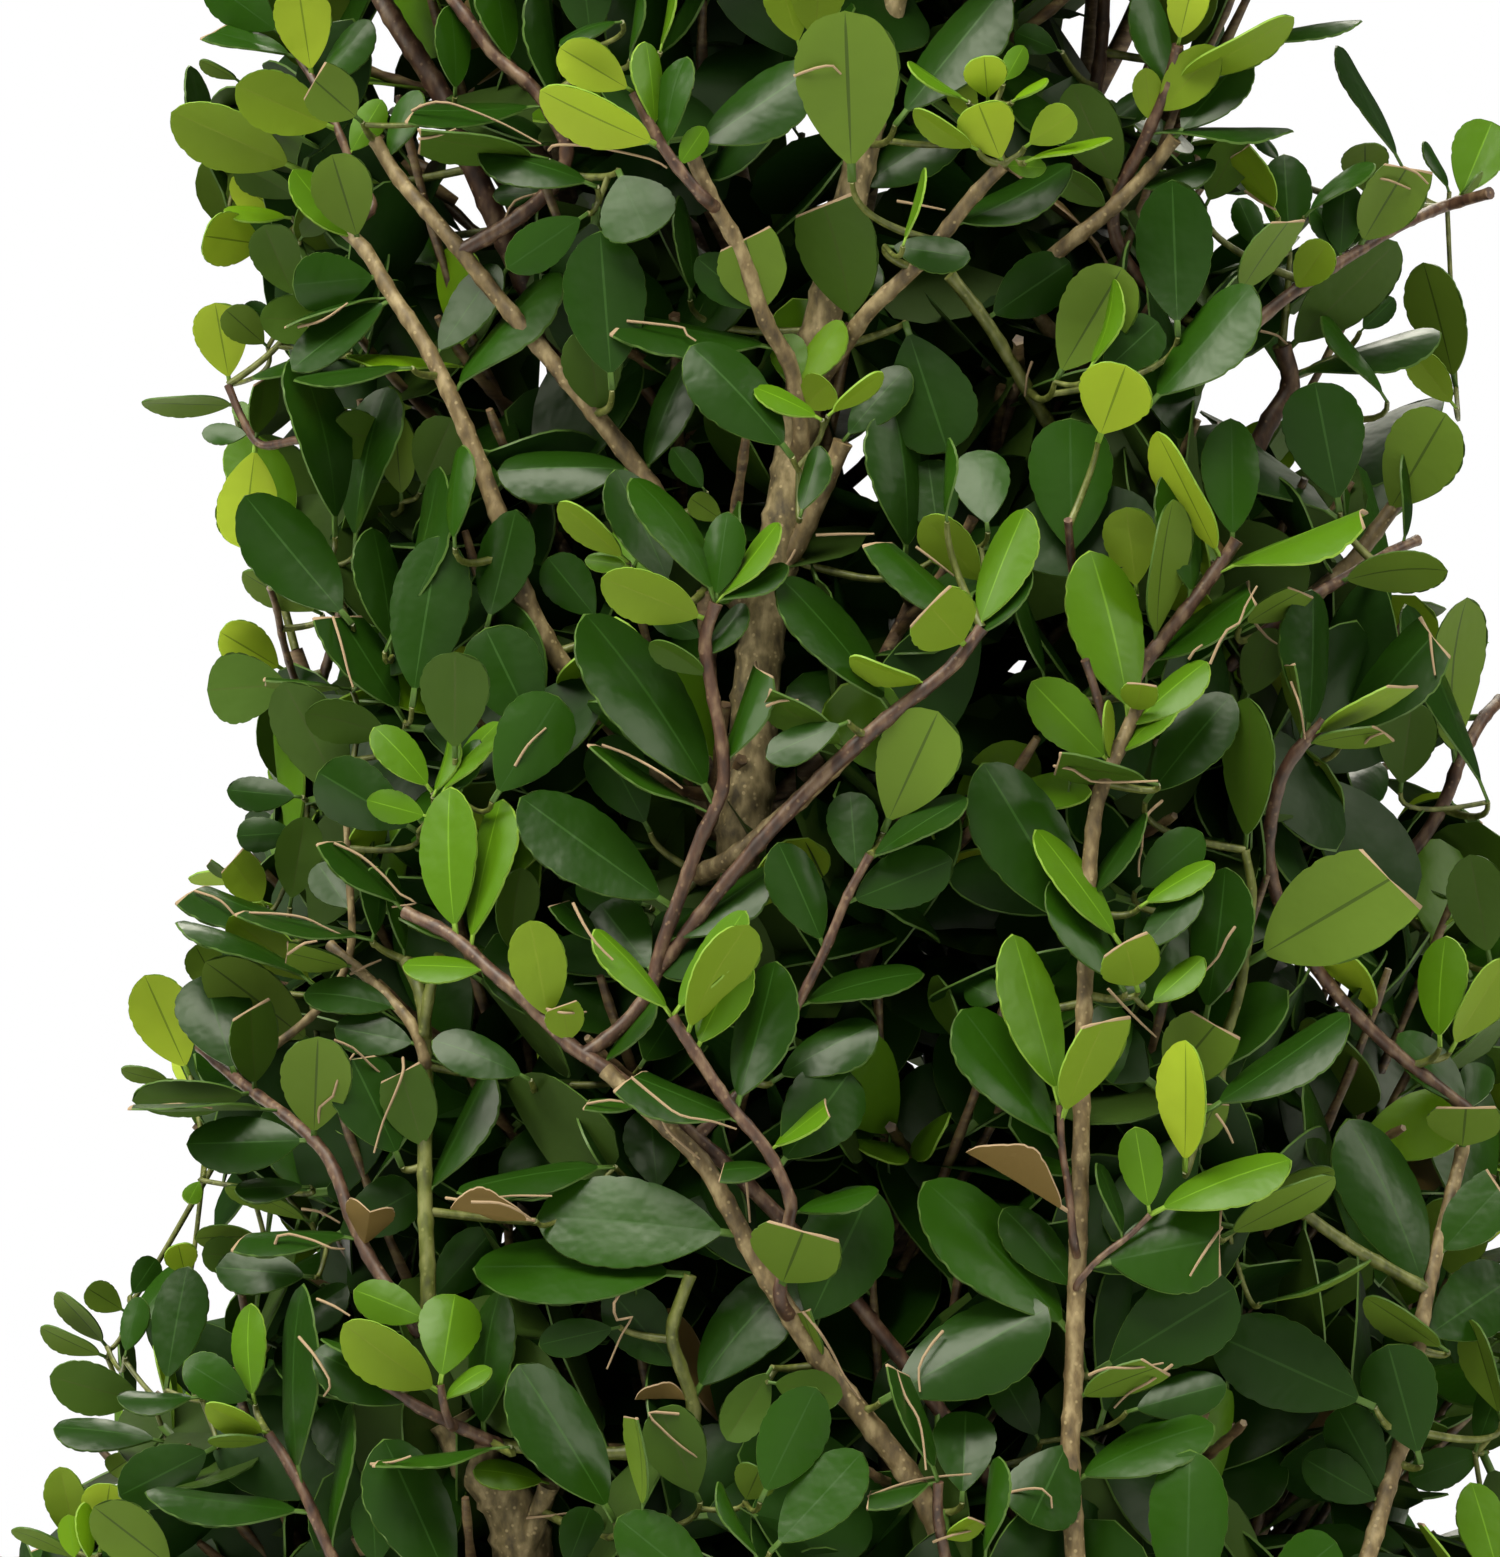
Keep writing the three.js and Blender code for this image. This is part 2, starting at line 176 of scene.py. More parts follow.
class Modifier(Tree):
    """A Geometry Nodes tree with named inputs, which is run on a mesh and leaves a plain mesh."""

    def __init__(self, name, **inputs):
        super().__init__(bpy.data.node_groups.new(name, "GeometryNodeTree"))
        face = self.tree.interface
        face.new_socket("Geometry", in_out="INPUT", socket_type="NodeSocketGeometry")
        face.new_socket("Geometry", in_out="OUTPUT", socket_type="NodeSocketGeometry")
        for title, kind in inputs.items():
            face.new_socket(title, in_out="INPUT", socket_type="NodeSocket" + kind)
        self.entry = self.tree.nodes.new("NodeGroupInput")
        self.exit = self.tree.nodes.new("NodeGroupOutput")

    def input(self, title):
        return Value(self, self.entry.outputs[title])

    def attribute(self, name, kind="FLOAT"):
        return self.node("GeometryNodeInputNamedAttribute", {"Name": name}, data_type=kind)

    def finish(self, geometry):
        geometry.feed(self.exit.inputs[0])

    def run(self, source, name, **values):
        """Runs the tree on a mesh and returns a finished object with the result in a mesh of its own."""
        worked = bpy.data.objects.new(name + "_source", source)
        bpy.context.scene.collection.objects.link(worked)
        modifier = worked.modifiers.new("Grow", "NODES")
        modifier.node_group = self.tree
        sockets = {item.name: item.identifier for item in self.tree.interface.items_tree}
        for title, value in values.items():
            modifier[sockets[title]] = value
        graph = bpy.context.evaluated_depsgraph_get()
        mesh = bpy.data.meshes.new_from_object(worked.evaluated_get(graph), depsgraph=graph)
        bpy.data.objects.remove(worked)
        mesh.name = name
        made = bpy.data.objects.new(name, mesh)
        bpy.context.scene.collection.objects.link(made)
        return made


def lines_mesh(lines):
    """A mesh of loose lines, one for each limb, from lists of (point, radius)."""
    points, edges, radii = [], [], []
    for line in lines:
        start = len(points)
        edges += [(start + i, start + i + 1) for i in range(len(line) - 1)]
        points += [tuple(point) for point, _ in line]
        radii += [radius for _, radius in line]
    mesh = bpy.data.meshes.new("lines")
    mesh.from_pydata(points, edges, [])
    mesh.attributes.new("thickness", "FLOAT", "POINT").data.foreach_set("value", radii)
    return mesh


# Limbs are swept along their lines. Bark relief moves the skin in and out: broad lumps, wrinkles that run
# round the limb, and pores that stand up from it. These scales are in turns a metre.
lump_scale = 90.0
lump_depth = 1.6
wrinkle_scales = (60.0, 60.0, 520.0)
pore_scale = 420.0
pore_reach = 0.32
limbs = Modifier("limbs", Sides="Int", Relief="Float", Wrinkles="Float", Lobes="Float", Bark="Material")
line = limbs.node("GeometryNodeMeshToCurve", [limbs.input("Geometry")])
ring = limbs.node("GeometryNodeCurvePrimitiveCircle", {"Resolution": limbs.input("Sides"), "Radius": 1.0})
swept = limbs.node(
    "GeometryNodeCurveToMesh",
    {"Curve": line, "Profile Curve": ring, "Scale": limbs.attribute("thickness"), "Fill Caps": True},
)
place = limbs.node("GeometryNodeInputPosition")
lumps = limbs.noise(place, lump_scale, 2.0)
wrinkles = limbs.noise(place.vector("MULTIPLY", wrinkle_scales), 1.0, 3.0, 0.6)
tall = place.vector("MULTIPLY", (1.0, 1.0, 0.6))
spots = limbs.node("ShaderNodeTexVoronoi", {"Vector": tall, "Scale": pore_scale})
pores = (pore_reach - spots).math("MAXIMUM", 0.0) * 3.0
relief = lump_depth * (lumps - 0.5) + (wrinkles - 0.5) * limbs.input("Wrinkles") + pores
axes = limbs.node("ShaderNodeSeparateXYZ", [place])
around = axes.output("Y").math("ARCTAN2", axes.output("X"))
lobes = (around * float(flare_lobes)).math("COSINE") * (axes.output("Z") / -flare_height).math("EXPONENT")
push = relief * limbs.input("Relief") + lobes * limbs.input("Lobes")
outward = limbs.node("GeometryNodeInputNormal").vector("MULTIPLY", (1.0, 1.0, 0.0))
moved = outward.vector("SCALE", scale=push)
barked = limbs.node("GeometryNodeSetPosition", {"Geometry": swept, "Offset": moved})
smooth = limbs.node("GeometryNodeSetShadeSmooth", {"Geometry": barked, "Shade Smooth": True})
whole = limbs.node("GeometryNodeRealizeInstances", [smooth])
limbs.finish(limbs.node("GeometryNodeSetMaterial", {"Geometry": whole, "Material": limbs.input("Bark")}))


def new_material(name):
    """A material, its node tree and its shader."""
    material = bpy.data.materials.new(name)
    material.use_nodes = True
    return material, Tree(material.node_tree), material.node_tree.nodes["Principled BSDF"]


def bark(name, hollow, skin, high, roughness, bump, grain=(260.0, 260.0, 900.0)):
    """Bark: a dark tone in its wrinkles, the skin's own tone, and a pale one on pores and worn ridges."""
    material, tree, shader = new_material(name)
    place = tree.node("ShaderNodeTexCoord", out=3)
    mottle = tree.noise(place, 170.0, 4.0)
    rings = tree.noise(place.vector("MULTIPLY", grain), 1.0, 3.0)
    cells = tree.node("ShaderNodeTexVoronoi", {"Vector": place, "Scale": 760.0})
    dots = (0.24 - cells).math("MAXIMUM", 0.0) * 1.6
    tone = mottle * 0.35 + rings * 0.65 + dots
    tree.ramp(tone, (0.36, hollow), (0.5, skin), (0.64, high)).feed(shader.inputs["Base Color"])
    shader.inputs["Roughness"].default_value = roughness
    bumped = tree.node("ShaderNodeBump", {"Height": rings + dots, "Strength": bump, "Distance": 0.2 * mm})
    bumped.feed(shader.inputs["Normal"])
    return material


old_bark = bark("old_bark", (0.07, 0.05, 0.02), (0.22, 0.165, 0.078), (0.4, 0.32, 0.17), 0.72, 0.6)
trunk_steps = 260
foot_crowding = 1.15  # its steps are closer together near the ground
trunk_line = []
for step in range(trunk_steps + 1):
    z = trunk_tip * (step / trunk_steps) ** foot_crowding
    trunk_line.append((trunk_point(z), trunk_radius(z) + flare_radius * math.exp(-z / flare_height)))
trunk_line[0][0].xy = trunk_line[1][0].xy  # its first stretch is upright, so that its foot is flat
trunk = limbs.run(
    lines_mesh([trunk_line]),
    "trunk_bark",
    Sides=28,
    Relief=0.28 * mm,
    Wrinkles=1.6,
    Lobes=flare_lobe_depth * flare_radius,
    Bark=old_bark,
)
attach(trunk, "root")
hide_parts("trunk")

# Boughs
# Twenty-four steep limbs that leave the trunk in rings, one to each mass of foliage, and carry on inside it
# as its stem. Their bark is younger than the trunk's, purple-brown and smoother.
courses = {  # heights, steps and radii in millimetres, turns in degrees
    "skirt": dict(foot=16, masses=5, turn=8, leave=24, step=5, enter=72, root=3.2, end=2.3),
    "lower": dict(foot=140, masses=5, turn=44, leave=84, step=8, enter=188, root=3.1, end=2.2),
    "middle": dict(foot=268, masses=4, turn=12, leave=214, step=10, enter=312, root=2.5, end=1.8),
    "upper": dict(foot=386, masses=4, turn=57, leave=332, step=9, enter=426, root=2.1, end=1.6),
    "high": dict(foot=492, masses=3, turn=20, leave=442, step=10, enter=528, root=1.8, end=1.4),
    "crest": dict(foot=586, masses=3, turn=80, leave=548, step=8, enter=614, root=1.5, end=1.2),
    "top": dict(foot=676, masses=1, turn=0),
}
height = 800 * mm
crown_radius = 127 * mm
tip_radius = 8 * mm
bulge = 1.3
crown_foot = 16 * mm
skirt_height = 34 * mm
cap_height = 26 * mm
dent_depth = 21 * mm
dent_height = 222 * mm
dent_spread = 60 * mm
dent_turn = math.radians(50)
course_tilt = 0.2
entry_share = 0.36
stem_share = 0.57
stem_rise = 20 * mm
stem_tip_share = 0.7
stem_tip_gap = 26 * mm  # under the masses of the next course
stem_tip_radius = 1.1 * mm
least_stem = 30 * mm
leader_radius = 1.2 * mm
golden_turn = 137.5


def clamp(value):
    return min(max(value, 0), 1)


def crown_at(z, turn=0.0):
    """Radius of the clipped crown at a height. Its -X side is worn hollow a little below the middle."""
    cone = tip_radius + crown_radius * (1 - clamp(z / height) ** bulge)
    under = clamp((z - crown_foot) / skirt_height)
    over = clamp((height - z) / cap_height)
    plain = cone * (0.82 + 0.18 * math.sqrt(1 - (1 - under) ** 2)) * math.sqrt(1 - (1 - over) ** 2)
    aside = (abs(turn) - math.pi) / dent_turn
    return plain - dent_depth * math.exp(-(((z - dent_height) / dent_spread) ** 2) / 2 - aside**2 / 2)


def crown_point(turn, radius, z):
    return Vector((crown_axis.x + radius * math.cos(turn), crown_axis.y + radius * math.sin(turn), z))


def foot_at(number, place):
    """Height of the sloping plane under a course, at a place in the crown."""
    names = list(courses)
    if number == 0:
        return crown_foot
    if number == len(names):
        return height
    down = math.radians(golden_turn * number)
    slope = 0 if number == len(names) - 1 else course_tilt
    away = (place.x - crown_axis.x) * math.cos(down) + (place.y - crown_axis.y) * math.sin(down)
    return courses[names[number]]["foot"] * mm + slope * away


def bent(start, bend, end, steps):
    """Points of a curve that leaves start towards bend and comes into end from there."""
    shares = [i / steps for i in range(steps + 1)]
    return [start * (1 - t) ** 2 + bend * (2 * t * (1 - t)) + end * t**2 for t in shares]


def low_bend(start, end, out, up, lowest=0.0):
    """Where a rising limb bends, at one share of its way out and another of its way up."""
    bend = start.lerp(end, out)
    bend.z = max(start.z + (end.z - start.z) * up, lowest)
    return bend


def tapered(points, root, end):
    last = len(points) - 1
    return [(point, root + (end - root) * i / last) for i, point in enumerate(points)]


young_bark = bark("young_bark", (0.035, 0.018, 0.01), (0.11, 0.065, 0.035), (0.24, 0.17, 0.09), 0.6, 0.4)
mass_limbs = {}
for number, (name, course) in enumerate(courses.items()):
    half = math.pi / course["masses"]
    for index in range(course["masses"]):
        middle = math.radians(course["turn"]) + 2 * half * index
        if name == "top":
            leader = [crown_point(0, 0, trunk_tip + 0.9 * t * (height - trunk_tip)) for t in (0, 0.5, 1)]
            mass_limbs[name, 1] = tapered(leader, leader_radius, leader_radius)
            continue
        start = trunk_point((course["leave"] + course["step"] * index) * mm)
        enter = course["enter"] * mm
        entry = crown_point(middle, entry_share * crown_at(enter), enter)
        bough = bent(start, low_bend(start, entry, 0.62, 0.34), entry, 24)
        top = foot_at(number + 1, entry) - stem_tip_gap
        inside = crown_point(middle, stem_share * crown_at(enter + stem_rise), enter + stem_rise)
        end = crown_point(middle, stem_tip_share * crown_at(top), max(top, enter + least_stem))
        stem = bent(entry, inside, end, 16)
        line = tapered(bough, course["root"] * mm, course["end"] * mm)
        mass_limbs[name, index + 1] = line + tapered(stem[1:], course["end"] * mm, stem_tip_radius)
bough_lines = [line for (name, _), line in mass_limbs.items() if name != "top"]
boughs = limbs.run(
    lines_mesh(bough_lines), "bough_bark", Sides=12, Relief=0.12 * mm, Wrinkles=1.0, Bark=young_bark
)
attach(boughs, "root")
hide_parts(*[f"bough_{name}_{index}" for name, index in mass_limbs if name != "top"])

# Front shoots
# The shoots on the side that the photograph shows, read from it. Places are in the photograph's pixels
# and lie on its lines of sight, a little inside the crown's face. Purple-brown young stems turn tan and olive
# with age, and their lower ends run back into the nearest limb. Their leaves are placed here, shaped below.
view_middle = Vector((11.6 * mm, -80 * mm, 223 * mm))
view_width = 214.3 * mm
photo_width, photo_height = 1500, 1557
camera_distance = 1.32
eye = view_middle - Vector((0, camera_distance, 0))
pixel = view_width / photo_width


def on_sight(px, py, depth):
    """The point at a depth that shows at a pixel of the photograph."""
    ratio = (depth - eye.y) / camera_distance
    x = view_middle.x + (px - photo_width / 2) * pixel * ratio
    return Vector((x, depth, view_middle.z - (py - photo_height / 2) * pixel * ratio))


def pixel_of(point):
    ratio = pixel * (point.y - eye.y) / camera_distance
    px = photo_width / 2 + (point.x - view_middle.x) / ratio
    return px, photo_height / 2 - (point.z - view_middle.z) / ratio


def face_depth(px, py):
    """Depth of the crown's face at a pixel. Towards its two edges the face turns away."""
    depth = -90 * mm
    for _ in range(7):
        spot = on_sight(px, py, depth)
        east, north = spot.x - crown_axis.x, depth - crown_axis.y
        radius = crown_at(spot.z, math.atan2(north, east))
        level = max(radius**2 - east**2, (0.25 * radius) ** 2)
        depth = 0.5 * (depth + crown_axis.y - math.sqrt(level))
    return depth


def cheapest(lines, cost):
    """The point of some limbs at which a cost is least, and the limb's radius there."""
    return min(((point, radius) for line in lines for point, radius in line), key=lambda row: cost(row[0]))


def nearest_climb(lines, end, front=0.0):
    """The point of a limb from which a twig climbs to its end at about 50 degrees."""

    def cost(point):
        level = math.hypot(end.x - point.x, end.y - point.y)
        climb = abs(end.z - point.z - climb_slope * level) + 0.35 * (end - point).length
        return climb + front * max(0, end.y - point.y + twig_room)

    return cheapest(lines, cost)


def nearest(lines, end):
    """The closest point of a limb behind a twig's end and no higher than it."""

    def cost(point):
        above = max(0, point.z - end.z)
        before = max(0, end.y - point.y + twig_room)
        return (end - point).length + above + 1.5 * before

    return cheapest(lines, cost)


def knotted(line, knots):
    """A line with its radii multiplied one by one."""
    return [(point, radius * knot) for (point, radius), knot in zip(line, knots)]


climb_slope = 1.15
twig_room = 2 * mm  # by which a twig's root lies behind its end
stem_step = 1.3 * mm
node_gap = 6.5 * mm  # from leaf scar to leaf scar, where a stem is thicker
node_swell = 0.13


def smoothed(line, step=stem_step):
    """A smooth curve through the points of a line, at even steps, with its radii."""
    rows = np.array([(*point, radius) for point, radius in line])
    rows = np.vstack([2 * rows[0] - rows[1], rows, 2 * rows[-1] - rows[-2]])
    made = []
    for before, here, after, beyond in zip(rows, rows[1:], rows[2:], rows[3:]):
        parts = max(1, round(float(np.linalg.norm(after[:3] - here[:3])) / step))
        for t in np.arange(parts) / parts:
            bow = (2 * before - 5 * here + 4 * after - beyond) * t**2
            bow += (3 * here - before - 3 * after + beyond) * t**3
            made.append(here + ((after - before) * t + bow) / 2)
    made.append(rows[-2])
    return [(Vector(row[:3].tolist()), float(row[3])) for row in made]


# Each stem: its bark, its width in pixels and its depth inside the face in millimetres, both at the first and
# last point, and its points from the tip down.
front_stems = [
    ("old", 22, 52, 24, 34, (908, -190), (905, -110), (897, -20), (880, 60), (868, 130), (852, 194),
     (836, 262), (820, 330), (803, 400), (788, 500), (768, 600), (757, 680), (752, 760), (742, 840)),
    ("tan", 14, 21, 8, 14, (1138, 705), (1112, 765), (1098, 800), (1090, 860), (1086, 960), (1083, 1050),
     (1080, 1190), (1078, 1250), (1075, 1330), (1073, 1400), (1070, 1460), (1076, 1570)),
    ("purple", 13, 15, 6, 12, (405, 912), (450, 935), (490, 970), (530, 1005), (570, 1045), (610, 1072)),
    ("tan", 16, 25, 10, 22, (605, 1070), (650, 1112), (700, 1160), (730, 1210), (755, 1258), (778, 1295),
     (803, 1335), (835, 1380), (870, 1425), (905, 1470), (935, 1520), (950, 1570)),
    ("tan", 14, 20, 12, 28, (375, 140), (400, 180), (450, 238), (500, 300), (555, 365), (600, 420),
     (645, 478), (680, 530)),
    ("tan", 14, 20, 8, 20, (335, 222), (365, 250), (390, 292), (425, 345), (455, 405), (478, 460),
     (500, 520), (515, 570)),
    ("tan", 16, 17, 8, 24, (690, 150), (712, 200), (740, 250), (765, 320), (790, 365), (800, 420)),
    ("tan", 14, 17, 8, 26, (1003, 165), (970, 200), (920, 262), (870, 310), (845, 345)),
    ("purple", 13, 14, 4, 14, (716, 603), (705, 640), (712, 690), (722, 745), (722, 790), (700, 840),
     (682, 890), (662, 945), (655, 975)),
    ("purple", 13, 16, 6, 10, (982, 628), (950, 668), (900, 708), (860, 742)),
    ("tan", 16, 20, 10, 26, (864, 738), (800, 800), (740, 852), (705, 872)),
    ("purple", 12, 14, -12, 34, (1490, 193), (1440, 208), (1395, 228), (1340, 262), (1280, 302),
     (1215, 362), (1150, 420)),
    ("purple", 12, 13, 4, 12, (672, 1017), (700, 1060), (730, 1105), (768, 1152), (790, 1200), (788, 1225),
     (780, 1290)),
    ("tan", 13, 18, 6, 14, (1470, 1112), (1460, 1160), (1445, 1220), (1428, 1290), (1418, 1350),
     (1408, 1420), (1390, 1480), (1365, 1565)),
    ("green", 13, 16, 14, 18, (405, 960), (422, 1000), (425, 1060), (425, 1190), (428, 1280)),
    ("tan", 19, 20, 24, 29, (843, 442), (822, 490), (802, 535)),
    ("purple", 20, 24, 34, 40, (370, -20), (400, 30), (425, 68), (446, 104), (470, 160)),
    ("purple", 13, 14, 12, 20, (440, -18), (470, 22), (498, 58), (535, 90), (560, 130)),
    ("purple", 8, 9, 8, 14, (283, 35), (312, 78), (338, 130), (352, 165), (372, 200)),
    ("purple", 11, 12, 3, 7, (634, 92), (650, 125), (672, 160), (695, 188)),
    ("purple", 11, 13, 5, 20, (1178, 45), (1165, 92), (1140, 150), (1120, 190)),
    ("tan", 14, 17, 10, 30, (1175, 138), (1150, 170), (1110, 210), (1060, 250), (1040, 270)),
    ("purple", 13, 15, 44, 48, (1105, -20), (1100, 60), (1085, 130)),
    ("green", 13, 14, 24, 30, (950, 275), (985, 320), (1010, 360), (1040, 410)),
    ("purple", 19, 20, 38, 44, (1282, 345), (1290, 385), (1270, 420), (1255, 450)),
    ("purple", 13, 15, 5, 14, (1237, 540), (1222, 562), (1190, 605), (1162, 640), (1140, 670)),
    ("purple", 11, 12, 7, 20, (1418, 540), (1395, 550), (1350, 575), (1310, 598), (1290, 612)),
    ("tan", 16, 18, 12, 28, (1400, 498), (1380, 525), (1352, 562), (1320, 590)),
    ("purple", 13, 14, 5, 16, (1325, 722), (1302, 745), (1285, 770), (1275, 800)),
    ("purple", 13, 14, 16, 30, (1500, 700), (1482, 720), (1460, 760), (1445, 800)),
    ("purple", 8, 9, 9, 16, (1068, 520), (1070, 545), (1073, 572)),
    ("purple", 8, 9, 5, 9, (1085, 660), (1095, 690), (1110, 742)),
    ("green", 11, 12, 10, 14, (440, 955), (430, 990), (424, 1030)),
    ("tan", 11, 12, 9, 15, (330, 945), (372, 982), (410, 1022), (425, 1060)),
    ("purple", 11, 14, 2, 12, (200, 1047), (240, 1082), (285, 1115), (318, 1145), (335, 1172), (350, 1215),
     (368, 1255), (390, 1290)),
    ("purple", 7, 8, 4, 20, (270, 588), (277, 610), (283, 640)),
    ("tan", 7, 8, 12, 16, (345, 800), (350, 890), (352, 930)),
    ("purple", 8, 9, 0, 14, (228, 385), (243, 420), (262, 445), (300, 440)),
    ("purple", 11, 13, 6, 16, (385, 1385), (420, 1408), (455, 1425), (484, 1438)),
    ("purple", 8, 9, 7, 10, (440, 1385), (445, 1410), (450, 1424)),
    ("purple", 10, 12, 4, 12, (268, 1434), (283, 1455), (305, 1495), (320, 1530), (336, 1565)),
    ("green", 12, 14, 14, 20, (690, 1275), (672, 1330), (680, 1365), (692, 1400)),
    ("purple", 10, 11, 5, 9, (938, 1482), (938, 1515), (944, 1550)),
    ("purple", 9, 10, 10, 16, (870, 855), (848, 895), (825, 950), (800, 1000), (775, 1045)),
    ("purple", 7, 8, 4, 8, (1060, 1105), (1062, 1150), (1068, 1185), (1073, 1235)),
    ("purple", 6, 7, 5, 10, (1150, 1215), (1130, 1235), (1100, 1258), (1080, 1280)),
    ("green", 9, 11, 13, 17, (1245, 850), (1252, 900), (1240, 990), (1225, 1040)),
    ("old", 46, 62, 24, 34, (452, 1418), (475, 1460), (502, 1492), (518, 1525), (524, 1570)),
    ("old", 20, 22, 26, 30, (549, 1484), (540, 1510), (528, 1545)),
]
limb_lines = [trunk_line[30:], *[line[4:] for line in mass_limbs.values()]]
carriers = list(limb_lines)
stem_lines = {"purple": [], "tan": [], "green": [], "old": []}
stem_points = []
for skin, first, last, shallow, deep, *pixels in front_stems:
    line = []
    for i, (px, py) in enumerate(pixels):
        share = i / (len(pixels) - 1)
        spot = on_sight(px, py, face_depth(px, py) + (shallow + (deep - shallow) * share) * mm)
        line.append((spot, (first + (last - first) * share) * pixel / 2))
    seen_part = smoothed(line)
    stem_points += [(*pixel_of(point), point, radius) for point, radius in seen_part]
    root, thick = line[-1]
    start, limb = nearest_climb(carriers, root, 1.5)
    gap = (root - start).length
    bend = root - (line[-2][0] - root).normalized() * (0.4 * gap)
    join = bent(start, bend, root, 5)
    whole = smoothed(line[:-1] + tapered(join[::-1], thick, min(limb, 1.2 * thick)))
    turns = [i * stem_step / node_gap * 2 * math.pi for i in range(len(whole))]
    knots = [1 + node_swell * max(0, math.cos(turn)) ** 4 for turn in turns]
    stem_lines[skin].append(knotted(whole, knots))
    carriers.append(whole)

